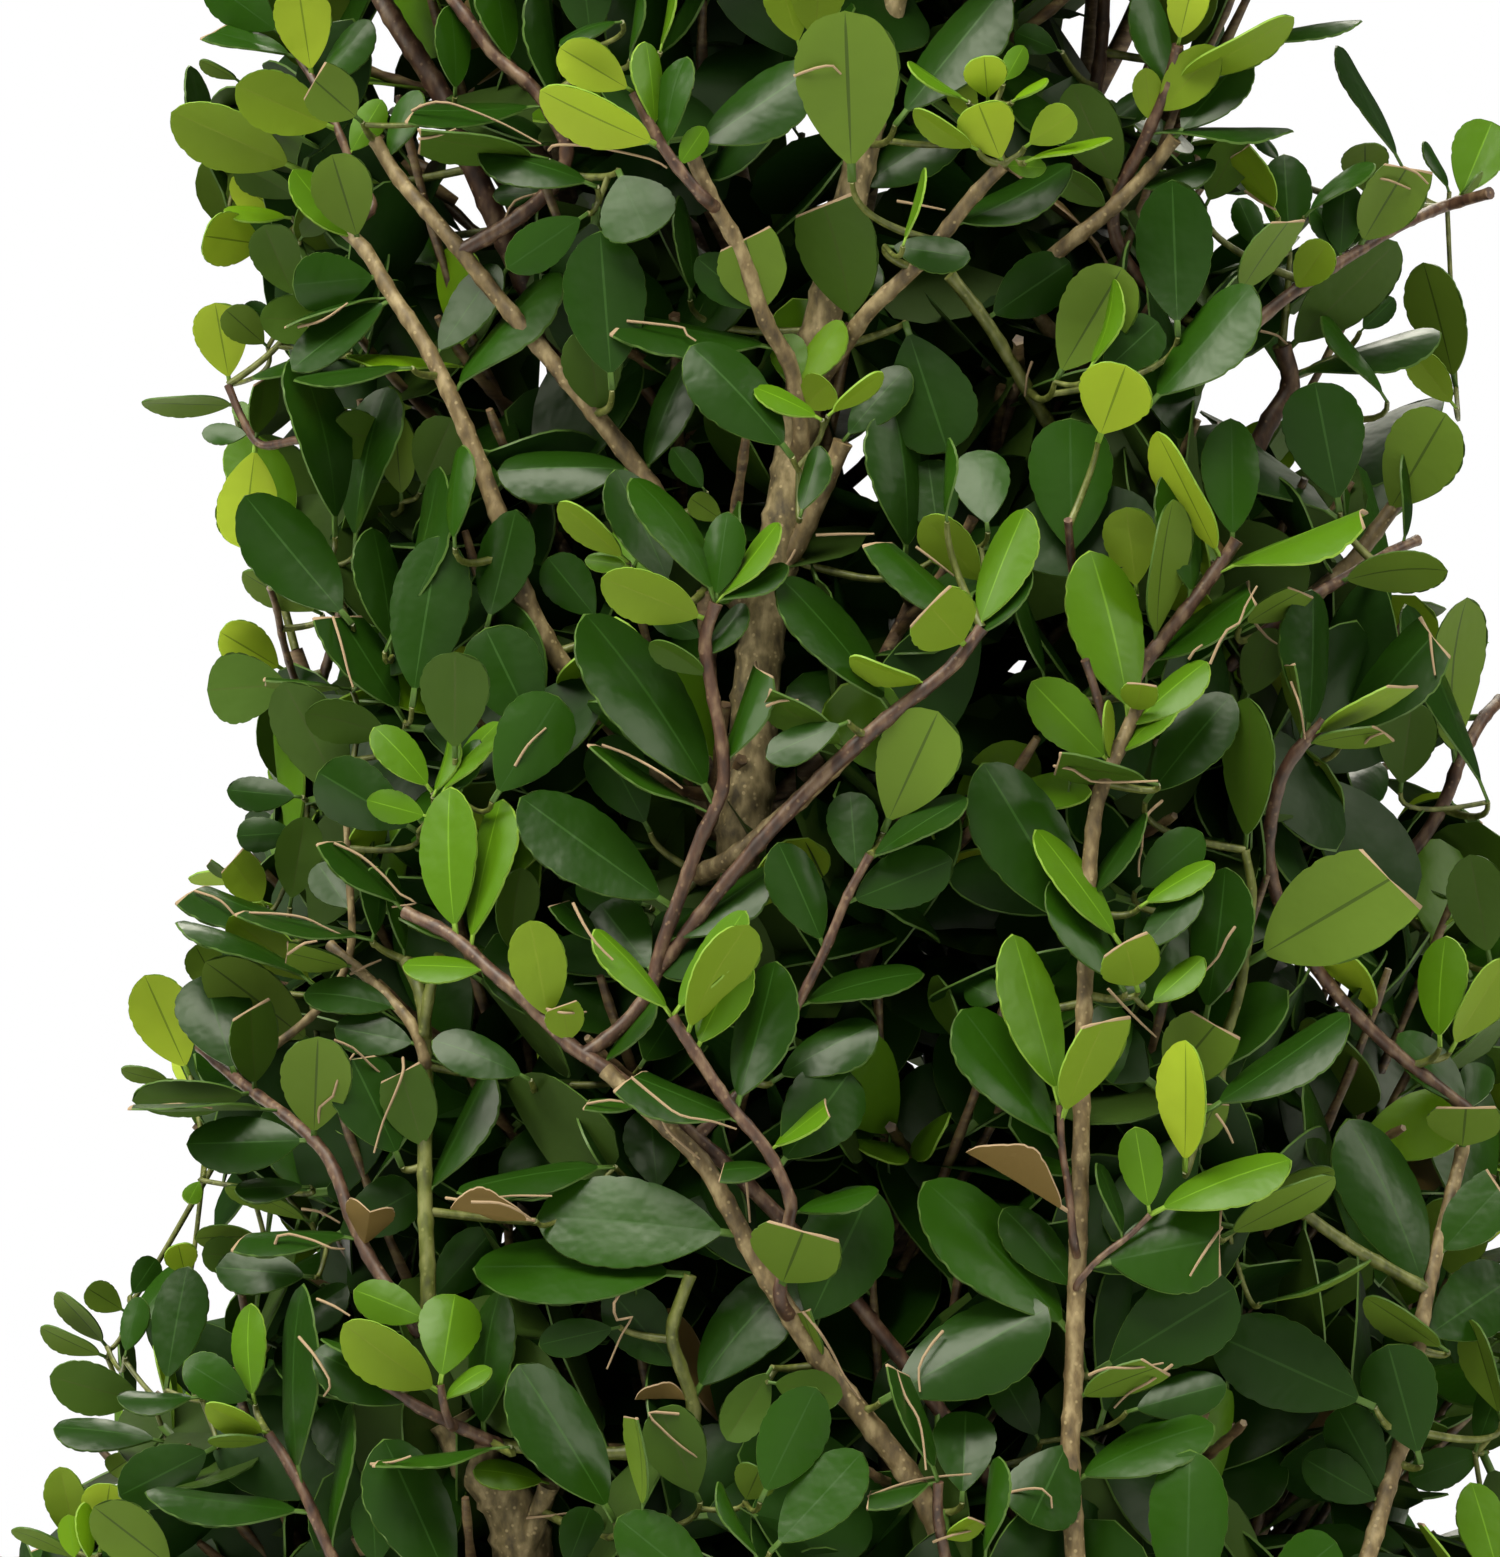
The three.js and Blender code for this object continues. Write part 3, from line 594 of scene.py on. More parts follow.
# Each leaf: its foot and tip in pixels, its width there, its kind and its layer, 0 at the face and 3 deepest.
# D, M, B and Y are upper sides from dark to yellow-green; d, m, b and y are undersides; c is one cut short,
# and dry a dead one.
front_leaves = [
    (300, 170, 172, 112, 66, "b", 1), (338, 135, 236, 85, 62, "b", 0), (362, 122, 314, 80, 55, "mc", 0),
    (228, 209, 190, 66, 24, "D", 3), (240, 82, 200, 60, 12, "m", 3), (292, 62, 212, 34, 13, "Mc", 1),
    (283, 38, 205, -22, 52, "M", 1), (328, 72, 298, -15, 58, "y", 1), (330, 88, 370, 20, 36, "M", 1),
    (346, 162, 382, 100, 32, "B", 0), (362, 243, 332, 155, 62, "m", 0), (360, 242, 293, 170, 34, "B", 0),
    (380, 275, 293, 285, 60, "M", 0), (268, 245, 204, 236, 56, "y", 2), (292, 222, 232, 178, 40, "y", 3),
    (302, 202, 235, 165, 32, "d", 2), (292, 218, 224, 210, 16, "Y", 2), (296, 302, 264, 225, 50, "d", 1),
    (300, 240, 325, 205, 34, "d", 2), (230, 385, 215, 303, 54, "y", 2), (268, 347, 226, 310, 38, "m", 2),
    (277, 316, 244, 306, 18, "D", 2), (348, 322, 260, 318, 50, "d", 1), (396, 300, 297, 328, 16, "dc", 0),
    (396, 300, 292, 370, 40, "D", 1), (335, 537, 298, 354, 50, "D", 0), (412, 368, 294, 380, 16, "D", 0),
    (240, 405, 142, 402, 30, "m", 3), (350, 350, 252, 378, 16, "D", 2), (254, 442, 264, 378, 32, "dc", 2),
    (250, 440, 202, 433, 22, "M", 2), (246, 424, 238, 402, 18, "B", 2), (256, 442, 243, 548, 64, "y", 2),
    (634, 92, 560, 48, 50, "y", 0), (662, 150, 541, 90, 55, "y", 0), (655, 128, 645, 42, 24, "B", 0),
    (672, 150, 685, 55, 36, "M", 0), (672, 166, 705, 127, 26, "B", 0), (708, 140, 815, 66, 60, "D", 1),
    (618, 170, 648, 236, 80, "M", 1), (588, 213, 507, 268, 48, "M", 1), (545, 192, 493, 196, 24, "D", 2),
    (597, 187, 478, 152, 36, "D", 1), (548, 160, 418, 138, 36, "dc", 1), (548, 102, 412, 108, 20, "Dc", 0),
    (612, 390, 600, 232, 84, "D", 1), (602, 418, 588, 328, 62, "d", 0), (452, 352, 498, 265, 42, "D", 1),
    (458, 395, 560, 272, 30, "M", 1), (752, 312, 697, 258, 46, "D", 1), (766, 322, 745, 238, 70, "mc", 0),
    (788, 350, 628, 320, 30, "Dc", 1), (792, 457, 690, 345, 72, "D", 0), (656, 470, 692, 356, 42, "D", 0),
    (398, 152, 418, 90, 26, "M", 0), (455, 97, 450, 5, 38, "M", 1), (517, 62, 492, -40, 38, "M", 1),
    (563, 150, 542, -30, 26, "D", 1), (592, 48, 580, -50, 56, "D", 1), (622, 22, 558, 44, 12, "D", 0),
    (630, 60, 640, -15, 8, "M", 1), (660, 52, 672, -25, 8, "B", 1), (690, 300, 680, 195, 30, "D", 2),
    (800, 48, 778, -25, 44, "b", 1), (852, 182, 845, 12, 105, "m", 0), (815, 45, 820, -35, 55, "b", 1),
    (895, 125, 1005, -12, 60, "D", 1), (868, 195, 968, 118, 60, "D", 1), (1005, 152, 978, 103, 58, "y", 0),
    (988, 102, 984, 56, 44, "y", 0), (1003, 84, 1024, 46, 24, "B", 0), (1025, 147, 1073, 112, 40, "b", 0),
    (978, 150, 914, 109, 28, "b", 0), (968, 102, 908, 62, 10, "B", 0), (975, 125, 955, 80, 30, "b", 1),
    (1012, 102, 1048, 79, 8, "Y", 0), (1025, 162, 1112, 138, 9, "Y", 0), (1018, 150, 1046, 168, 22, "B", 1),
    (855, 332, 820, 205, 74, "dc", 0), (885, 246, 970, 258, 36, "D", 1), (903, 246, 925, 168, 8, "B", 0),
    (876, 294, 857, 258, 32, "D", 1), (812, 388, 842, 321, 34, "Y", 0), (806, 388, 785, 334, 38, "B", 0),
    (822, 420, 754, 388, 22, "B", 0), (828, 416, 882, 372, 18, "b", 0), (820, 408, 830, 382, 42, "b", 0),
    (850, 422, 908, 368, 40, "D", 1), (995, 316, 1070, 262, 60, "D", 1), (955, 236, 1072, 165, 48, "D", 2),
    (905, 322, 948, 452, 88, "D", 2), (1112, 212, 1057, 172, 28, "d", 1), (1062, 52, 1015, 32, 30, "D", 2),
    (1102, 192, 1072, 85, 60, "d", 2), (1055, 382, 1122, 268, 76, "m", 1),
    (1088, 372, 1116, 279, 18, "B", 0), (1098, 442, 1126, 365, 76, "y", 0),
    (1097, 378, 1158, 322, 55, "D", 0), (1100, 132, 1152, 92, 30, "D", 2),
    (1162, 90, 1142, -12, 40, "M", 0), (1178, 47, 1196, -30, 42, "y", 0), (1142, 125, 1145, 68, 30, "b", 1),
    (1162, 118, 1217, 48, 48, "b", 1), (1182, 85, 1293, 17, 36, "b", 1), (1240, 48, 1362, 20, 16, "D", 2),
    (1165, 132, 1247, 52, 50, "D", 2), (1155, 134, 1293, 131, 9, "D", 2),
    (1178, 337, 1172, 180, 78, "D", 0), (1205, 207, 1242, 136, 44, "d", 2),
    (1142, 202, 1216, 162, 24, "D", 1), (1147, 407, 1252, 286, 56, "M", 0),
    (1235, 300, 1290, 222, 44, "mc", 0), (1278, 217, 1240, 150, 34, "bc", 1),
    (1290, 252, 1284, 154, 52, "D", 2), (1262, 252, 1238, 198, 30, "D", 2),
    (1280, 162, 1256, 131, 14, "D", 3), (1288, 287, 1328, 243, 42, "b", 1),
    (1340, 260, 1345, 181, 42, "D", 0), (1362, 254, 1408, 167, 60, "mc", 0),
    (1365, 197, 1365, 143, 48, "m", 2), (1305, 217, 1374, 163, 10, "M", 1),
    (1342, 242, 1312, 208, 22, "D", 2), (1402, 167, 1337, 46, 16, "D", 2),
    (1449, 192, 1424, 141, 12, "D", 2), (1455, 202, 1492, 122, 58, "B", 1),
    (1455, 202, 1482, 171, 10, "m", 1), (1285, 352, 1396, 242, 62, "d", 2),
    (1360, 332, 1394, 298, 26, "D", 2), (1300, 377, 1440, 332, 24, "D", 2),
    (1387, 402, 1322, 316, 13, "M", 1), (1456, 388, 1424, 263, 50, "m", 3),
    (1456, 408, 1410, 350, 36, "b", 2), (352, 624, 245, 496, 80, "D", 0), (322, 614, 243, 572, 28, "m", 2),
    (355, 552, 388, 386, 34, "D", 1), (396, 442, 331, 430, 50, "d", 2), (402, 502, 395, 412, 42, "m", 2),
    (284, 670, 220, 632, 50, "y", 3), (296, 684, 208, 690, 72, "d", 2), (352, 690, 264, 680, 14, "mc", 1),
    (325, 808, 284, 682, 66, "d", 1), (395, 738, 305, 712, 44, "d", 1), (405, 722, 338, 616, 46, "Dc", 1),
    (392, 656, 372, 528, 44, "D", 1), (385, 652, 440, 467, 24, "D", 0), (418, 832, 318, 772, 68, "D", 1),
    (302, 797, 227, 790, 34, "D", 2), (455, 548, 462, 445, 26, "M", 0), (487, 627, 516, 510, 58, "D", 1),
    (412, 707, 440, 536, 78, "D", 0), (455, 758, 455, 652, 70, "d", 0), (540, 742, 485, 628, 78, "D", 1),
    (492, 802, 558, 697, 76, "M", 0), (705, 802, 585, 614, 84, "D", 0), (650, 832, 600, 738, 62, "D", 2),
    (702, 806, 602, 744, 8, "Mc", 0), (622, 482, 497, 472, 50, "D", 1), (672, 592, 615, 470, 56, "D", 1),
    (712, 592, 633, 475, 42, "M", 0), (712, 622, 602, 578, 54, "b", 0), (630, 566, 585, 560, 20, "B", 1),
    (628, 562, 560, 502, 30, "b", 1), (715, 602, 728, 512, 42, "M", 1), (718, 607, 779, 523, 22, "B", 0),
    (722, 610, 788, 566, 14, "D", 0), (712, 682, 650, 641, 26, "d", 1), (724, 772, 758, 666, 32, "Mc", 0),
    (702, 642, 650, 610, 30, "D", 2), (715, 662, 745, 604, 26, "D", 1), (600, 622, 548, 558, 50, "D", 2),
    (432, 792, 374, 727, 38, "B", 0), (433, 797, 452, 729, 18, "B", 0), (440, 797, 500, 722, 16, "B", 0),
    (440, 802, 480, 740, 30, "M", 0), (420, 492, 452, 418, 56, "d", 2), (725, 522, 690, 498, 28, "m", 2),
    (706, 492, 672, 448, 28, "D", 2), (800, 517, 820, 446, 28, "D", 0), (905, 562, 893, 405, 50, "D", 2),
    (947, 522, 949, 438, 10, "M", 0), (940, 547, 928, 460, 56, "D", 2), (988, 532, 978, 450, 58, "M", 1),
    (985, 587, 924, 517, 42, "b", 1), (982, 637, 1026, 509, 48, "B", 0), (975, 632, 881, 543, 46, "Mc", 0),
    (970, 655, 930, 606, 74, "bc", 0), (926, 677, 850, 657, 20, "b", 0), (985, 652, 1030, 568, 26, "D", 1),
    (878, 702, 780, 578, 50, "D", 0), (846, 747, 765, 698, 36, "dc", 0), (848, 722, 766, 758, 30, "D", 0),
    (883, 832, 938, 712, 84, "m", 1), (1078, 562, 1070, 419, 85, "M", 0),
    (1137, 594, 1126, 507, 54, "b", 1), (1155, 647, 1172, 500, 40, "m", 1),
    (1128, 717, 1090, 551, 74, "B", 0), (1108, 767, 1032, 682, 58, "B", 0),
    (1135, 717, 1142, 684, 38, "bc", 0), (1115, 767, 1107, 700, 14, "b", 0),
    (1126, 762, 1178, 698, 22, "B", 0), (1158, 785, 1056, 766, 18, "dc", 0),
    (1045, 682, 1020, 588, 16, "D", 1), (1222, 562, 1158, 432, 42, "y", 0),
    (1235, 547, 1231, 419, 58, "M", 0), (1185, 607, 1174, 464, 46, "M", 1),
    (1222, 582, 1364, 513, 30, "Bc", 0), (1340, 512, 1315, 383, 82, "D", 1),
    (1370, 507, 1446, 414, 80, "m", 0), (1405, 547, 1405, 450, 12, "D", 0),
    (1345, 597, 1449, 568, 44, "m", 1), (1488, 802, 1406, 605, 17, "D", 0),
    (1450, 762, 1464, 596, 58, "m", 2), (1300, 737, 1312, 590, 48, "D", 1),
    (1340, 747, 1436, 636, 62, "Dc", 1), (1315, 742, 1404, 687, 24, "bc", 0),
    (1310, 757, 1384, 733, 20, "mc", 0), (1150, 677, 1252, 590, 42, "Mc", 0),
    (1240, 627, 1301, 592, 30, "mc", 1), (1245, 702, 1276, 628, 46, "d", 2),
    (1302, 744, 1288, 664, 14, "mc", 0), (1138, 742, 1207, 662, 32, "B", 0),
    (1145, 802, 1232, 695, 62, "D", 1), (1245, 852, 1250, 699, 50, "d", 1),
    (1400, 792, 1412, 702, 60, "d", 2), (300, 832, 237, 836, 36, "D", 2), (290, 907, 305, 817, 48, "d", 1),
    (266, 907, 232, 860, 42, "bc", 2), (230, 882, 209, 862, 12, "dc", 3), (307, 934, 194, 890, 30, "Dc", 2),
    (316, 987, 230, 917, 42, "b", 2), (372, 940, 249, 912, 26, "Dc", 0), (316, 987, 176, 920, 14, "D", 1),
    (345, 914, 318, 864, 42, "D", 1), (412, 892, 333, 841, 20, "Dc", 0), (372, 942, 378, 866, 22, "D", 0),
    (392, 952, 390, 868, 18, "M", 0), (430, 817, 367, 800, 34, "B", 0), (190, 1077, 144, 974, 62, "y", 2),
    (226, 1002, 195, 945, 40, "m", 3), (316, 1047, 206, 962, 64, "m", 2), (235, 1082, 203, 973, 78, "D", 1),
    (255, 1092, 250, 1008, 52, "dc", 1), (172, 1080, 121, 1069, 16, "m", 3),
    (252, 1097, 133, 1100, 38, "d", 1), (272, 1122, 130, 1110, 15, "dc", 1),
    (312, 1144, 187, 1144, 58, "D", 0), (315, 1137, 318, 1037, 72, "m", 0),
    (405, 1004, 303, 993, 38, "D", 1), (405, 1052, 335, 1028, 40, "D", 1),
    (402, 1167, 350, 1058, 70, "Dc", 1), (425, 1157, 400, 1072, 56, "dc", 0),
    (352, 970, 286, 951, 22, "mc", 0), (200, 1180, 188, 1203, 20, "B", 1), (460, 937, 450, 787, 62, "B", 0),
    (480, 944, 502, 800, 32, "B", 0), (665, 902, 521, 798, 70, "D", 0), (650, 907, 578, 878, 52, "D", 2),
    (640, 977, 600, 904, 62, "D", 2), (600, 947, 558, 904, 26, "Dc", 1), (562, 1012, 530, 921, 58, "b", 0),
    (572, 1050, 562, 1006, 40, "bc", 0), (672, 1017, 595, 929, 28, "B", 0),
    (672, 1012, 745, 911, 38, "B", 1), (692, 1032, 747, 924, 42, "b", 0), (702, 1050, 743, 951, 50, "B", 0),
    (668, 947, 771, 870, 40, "D", 1), (743, 1107, 776, 962, 62, "D", 1), (640, 1067, 682, 1002, 56, "D", 2),
    (602, 1062, 656, 1000, 16, "M", 0), (530, 1080, 432, 1040, 42, "D", 1),
    (480, 977, 403, 966, 28, "B", 1), (445, 1197, 490, 1071, 26, "D", 1),
    (652, 1092, 586, 1104, 16, "Mc", 0), (742, 1132, 631, 1077, 36, "Dc", 0),
    (658, 1197, 650, 1108, 60, "D", 2), (790, 1167, 721, 1173, 18, "Dc", 0),
    (615, 1167, 457, 1192, 38, "D", 1), (510, 957, 520, 868, 42, "d", 2), (850, 872, 850, 792, 52, "D", 1),
    (818, 942, 778, 843, 54, "D", 1), (852, 907, 952, 860, 60, "D", 0), (868, 862, 967, 798, 26, "D", 0),
    (790, 1002, 924, 973, 34, "D", 1), (772, 1082, 877, 1025, 46, "D", 1),
    (785, 1167, 850, 1072, 80, "D", 0), (770, 1147, 827, 1106, 16, "Bc", 0),
    (1070, 942, 983, 764, 90, "D", 0), (1122, 947, 1036, 830, 38, "B", 0),
    (1125, 992, 1050, 882, 48, "M", 0), (1138, 992, 1125, 942, 62, "bc", 0),
    (1052, 1107, 1013, 935, 62, "B", 0), (1050, 1152, 962, 1010, 48, "M", 0),
    (1062, 1127, 1106, 1021, 46, "bc", 0), (1005, 1002, 967, 984, 36, "D", 1),
    (1055, 1213, 967, 1152, 18, "dry", 0), (1090, 1176, 1019, 1159, 20, "M", 0),
    (1145, 1207, 1135, 1127, 44, "B", 0), (1108, 902, 1146, 813, 32, "D", 1),
    (1100, 1007, 1146, 984, 28, "D", 1), (1135, 892, 1202, 833, 50, "M", 1),
    (1140, 907, 1214, 863, 26, "B", 0), (1135, 957, 1201, 888, 38, "D", 0),
    (1148, 1007, 1204, 958, 30, "B", 0), (1245, 967, 1392, 878, 105, "mc", 0),
    (1205, 1022, 1226, 868, 58, "D", 1), (1205, 1112, 1348, 1014, 50, "D", 0),
    (1163, 1087, 1216, 1024, 72, "mc", 1), (1185, 1172, 1186, 1041, 54, "y", 0),
    (1195, 1152, 1216, 1104, 30, "mc", 1), (1165, 1202, 1291, 1160, 46, "B", 0),
    (1272, 1192, 1334, 1170, 26, "m", 1), (1440, 1047, 1446, 936, 48, "B", 0),
    (1450, 1052, 1507, 958, 42, "b", 0), (1452, 1102, 1399, 1033, 42, "M", 0),
    (1468, 1112, 1480, 1063, 36, "M", 0), (1468, 1152, 1466, 1108, 76, "mc", 0),
    (1490, 962, 1470, 855, 62, "d", 1), (310, 1187, 235, 1190, 22, "D", 1),
    (312, 1224, 226, 1186, 18, "m", 2), (332, 1237, 416, 1190, 58, "D", 1),
    (366, 1247, 370, 1212, 50, "dry", 0), (346, 1247, 243, 1240, 24, "Dc", 1),
    (262, 1237, 195, 1238, 28, "m", 2), (262, 1257, 202, 1254, 38, "d", 2),
    (314, 1277, 216, 1268, 40, "D", 1), (186, 1277, 178, 1244, 34, "y", 2),
    (130, 1297, 156, 1259, 30, "D", 3), (126, 1312, 87, 1288, 32, "m", 2),
    (107, 1347, 57, 1292, 26, "m", 2), (125, 1357, 140, 1297, 26, "M", 1),
    (128, 1332, 179, 1265, 32, "M", 2), (166, 1390, 188, 1267, 52, "D", 1),
    (106, 1357, 41, 1327, 22, "m", 2), (150, 1402, 50, 1376, 48, "d", 1),
    (200, 1397, 117, 1397, 20, "D", 1), (165, 1442, 54, 1428, 28, "D", 2),
    (140, 1452, 110, 1472, 28, "m", 3), (216, 1447, 119, 1496, 60, "D", 1),
    (78, 1552, 60, 1467, 40, "b", 1), (100, 1552, 110, 1483, 52, "y", 1), (82, 1562, 12, 1529, 14, "m", 1),
    (75, 1562, 68, 1515, 26, "Y", 0), (88, 1564, 85, 1502, 20, "Y", 0), (178, 1572, 94, 1507, 58, "m", 0),
    (255, 1404, 250, 1303, 38, "B", 0), (254, 1404, 182, 1360, 46, "M", 0),
    (268, 1434, 206, 1404, 30, "b", 0), (302, 1484, 302, 1284, 42, "D", 1),
    (270, 1342, 348, 1286, 40, "D", 2), (420, 1364, 321, 1339, 10, "M", 0),
    (425, 1402, 314, 1352, 52, "D", 2), (366, 1484, 332, 1400, 66, "D", 2),
    (338, 1550, 352, 1402, 13, "M", 0), (305, 1520, 146, 1492, 40, "D", 0),
    (376, 1572, 372, 1489, 46, "D", 1), (385, 1387, 368, 1368, 22, "Y", 0),
    (266, 1442, 208, 1440, 12, "m", 2), (730, 1245, 537, 1217, 92, "M", 0),
    (690, 1272, 474, 1268, 74, "M", 1), (535, 1221, 451, 1208, 24, "dry", 0),
    (430, 1302, 492, 1231, 52, "D", 2), (445, 1387, 455, 1294, 64, "B", 0),
    (435, 1392, 344, 1324, 58, "b", 0), (432, 1322, 354, 1290, 42, "B", 1),
    (438, 1399, 491, 1367, 17, "B", 0), (500, 1442, 500, 1289, 48, "D", 2),
    (620, 1327, 539, 1345, 38, "D", 1), (666, 1382, 608, 1288, 62, "D", 1),
    (615, 1522, 518, 1365, 78, "D", 0), (703, 1397, 802, 1268, 72, "D", 0),
    (682, 1414, 635, 1399, 18, "dry", 0), (700, 1502, 660, 1408, 62, "d", 1),
    (641, 1517, 630, 1417, 20, "mc", 0), (543, 1463, 473, 1470, 27, "B", 0),
    (456, 1602, 384, 1440, 74, "D", 0), (722, 1602, 618, 1518, 68, "M", 0),
    (565, 1572, 590, 1508, 44, "D", 1), (772, 1367, 727, 1440, 46, "d", 1),
    (745, 1502, 760, 1468, 44, "m", 1), (760, 1562, 718, 1482, 11, "M", 0),
    (510, 1447, 380, 1462, 10, "Mc", 0), (783, 1292, 803, 1232, 94, "mc", 0),
    (817, 1322, 872, 1188, 92, "D", 1), (798, 1217, 878, 1190, 22, "M", 0),
    (826, 1367, 804, 1310, 14, "mc", 0), (1066, 1335, 925, 1182, 72, "M", 0),
    (880, 1402, 1048, 1308, 92, "D", 1), (1066, 1292, 1003, 1208, 50, "D", 2),
    (932, 1480, 897, 1370, 28, "Dc", 0), (936, 1472, 868, 1497, 16, "Dc", 0),
    (962, 1502, 966, 1411, 64, "D", 1), (1040, 1442, 1000, 1372, 48, "D", 2),
    (1096, 1372, 1234, 1288, 92, "D", 1), (1090, 1402, 1157, 1368, 32, "mc", 0),
    (1098, 1264, 1222, 1240, 84, "Mc", 0), (1122, 1247, 1097, 1163, 16, "D", 1),
    (1070, 1440, 1030, 1523, 80, "D", 0), (760, 1502, 816, 1388, 68, "M", 0),
    (770, 1552, 862, 1453, 64, "M", 0), (768, 1382, 842, 1396, 42, "d", 1),
    (985, 1562, 998, 1457, 13, "M", 0), (935, 1542, 977, 1519, 22, "bc", 0),
    (1090, 1482, 1214, 1424, 48, "M", 1), (1222, 1237, 1334, 1177, 42, "m", 1),
    (1127, 1412, 1226, 1384, 46, "D", 1), (1186, 1622, 1190, 1449, 80, "M", 0),
    (1375, 1407, 1214, 1334, 90, "D", 0), (1423, 1302, 1348, 1118, 82, "D", 0),
    (1260, 1304, 1371, 1260, 8, "m", 1), (1448, 1352, 1366, 1297, 32, "m", 0),
    (1421, 1464, 1388, 1345, 76, "D", 0), (1432, 1347, 1512, 1278, 76, "D", 1),
    (1450, 1264, 1500, 1188, 58, "Mc", 0), (1502, 1422, 1472, 1320, 36, "m", 0),
    (1475, 1452, 1502, 1378, 32, "D", 1), (1487, 1452, 1409, 1480, 42, "M", 1),
    (1398, 1507, 1303, 1458, 50, "D", 0), (1376, 1492, 1338, 1408, 58, "D", 2),
    (1262, 1602, 1336, 1542, 62, "M", 0), (1502, 1592, 1471, 1483, 48, "B", 0),
    (1472, 1602, 1420, 1524, 12, "bc", 0),
]
layer_depths = (5, 14, 25, 38)  # millimetres inside the face
long_cut = 0.78  # the share of its length that a cut leaf keeps
broad_from = 0.56  # the least width of a broad leaf, by its length
stem_reach = 22  # pixels within which a leaf's foot sits on a stem
stem_depth_reach = 22 * mm
upper_lean = 0.12  # how far a leaf leans away, by its length, where its upper side shows
under_lean = -0.3  # and where its underside shows
most_lean = 1.1
least_slimness = 1.62  # a leaf that looks shorter than this, by its width, leans more
front_cell = 8  # pixels
clear_margin = 1 * mm
face_cell = 40  # pixels
bare_depth = 10 * mm
nearest_front = {}
face_depths = {}
side_twig_radius = (0.7 * mm, 0.4 * mm)
most_droop = 3 * mm  # of a side twig
level_share = 0.15
front_rows, side_twigs = [], []


def cell_at(px, py, size):
    """The square of the photograph that holds a pixel."""
    return int(px // size), int(py // size)


def keep_clear(point, depth):
    """Nothing grown by rule may stand before this depth at the point's place in the photograph."""
    cell = cell_at(*pixel_of(point), front_cell)
    nearest_front[cell] = min(depth, nearest_front.get(cell, depth))


def side_twig(base, tip):
    """A thin twig from the nearest limb behind to the foot of a single leaf."""
    start, limb = nearest(carriers, base)
    gap = (base - start).length
    bend = base - (tip - base).normalized() * (0.12 * gap) - Vector((0, 0, min(0.2 * gap, most_droop)))
    bend.y = base.y + 0.3 * gap + 1 * mm
    return smoothed(tapered(bent(start, bend, base, 8), min(limb, side_twig_radius[0]), side_twig_radius[1]))


def rolled(along, facing, roll, dice):
    """Where a leaf's upper side looks once it is rolled one way or the other, and up if one of them does."""
    ways = [Quaternion(along, side * roll) @ facing for side in (1, -1)]
    apart = abs(ways[0].z - ways[1].z)
    if apart > level_share * roll:
        return max(ways, key=lambda way: way.z)
    if apart < level_share * roll and dice.random() < 0.5:
        ways.reverse()
    return ways[0]


def front_leaf(bx, by, tx, ty, wide, kind, layer, dice):
    """One leaf as read. It sits on the front stem that passes its foot, or else gets a side twig."""
    depth = face_depth(bx, by) + layer_depths[layer] * mm
    near = [
        (math.hypot(px - bx, py - by), i)
        for i, (px, py, point, _) in enumerate(stem_points)
        if abs(point.y - depth) < stem_depth_reach
    ]
    off, closest = min(near, default=(stem_reach, 0))
    base = stem_points[closest][2] if off < stem_reach else on_sight(bx, by, depth)
    ratio = (base.y - eye.y) / camera_distance * pixel
    flat_length = max(math.hypot(tx - bx, ty - by) * ratio, 4 * mm)
    flat_width = wide * ratio
    cut = kind.endswith("c")
    shows_upper = kind[0].isupper()
    full = flat_length / long_cut if cut else flat_length
    least = least_slimness * flat_width
    away = upper_lean if shows_upper else under_lean
    if full < least:
        away = math.copysign(min(math.sqrt((least / full) ** 2 - 1), most_lean), away)
    if ty > by:
        away = -0.5 * away
    tip = on_sight(tx, ty, base.y + away * flat_length)
    if off >= stem_reach:
        twig = side_twig(base, tip)
        side_twigs.append(twig)
        carriers.append(twig[len(twig) // 3 :])
    length = (tip - base).length / (long_cut if cut else 1)
    along = (tip - base).normalized()
    sight = (eye - base).normalized() * (1 if shows_upper else -1)
    facing = (sight - along * sight.dot(along)).normalized()
    broad = max(flat_width, dice.uniform(0.46, 0.52) * length)
    face_up = rolled(along, facing, math.acos(clamp(flat_width / broad)), dice)
    for share in np.linspace(0.06, 0.98, max(5, round(flat_length / mm))):
        half = 0.5 * broad * math.sqrt(1 - (2 * share - 1) ** 2)
        for side in np.linspace(-1, 1, max(3, round(2 * flat_width / mm))):
            spot = base.lerp(tip, share) + along.cross(face_up) * (side * half)
            keep_clear(spot, spot.y + clear_margin)
    curl = dice.gauss(0.16, 0.2)
    letter = kind[0].lower()
    row = dict(
        root=base,
        along=(along + face_up * (0.5 * curl)).normalized(),
        face_up=(face_up - along * (0.5 * curl)).normalized(),
        length=length,
        width=broad / length,
        curl=curl,
        fold=dice.uniform(0.0, 0.15),
        wave=dice.uniform(0.002, 0.016),
        phase=dice.uniform(0, 6.28),
        twist=dice.gauss(0, 0.15),
        cup=dice.uniform(0.02, 0.11),
        tone=1.0 if letter in "my" else 0.0,
        form="fine_cut" if cut else ("fine_broad" if broad > broad_from * length else "fine_whole"),
        kind="dry" if kind == "dry" else ("young" if letter in "by" else "mature"),
    )
    if kind == "dry":
        row.update(fold=dice.uniform(0.6, 0.9), wave=0.06, cup=0.0)
    return row


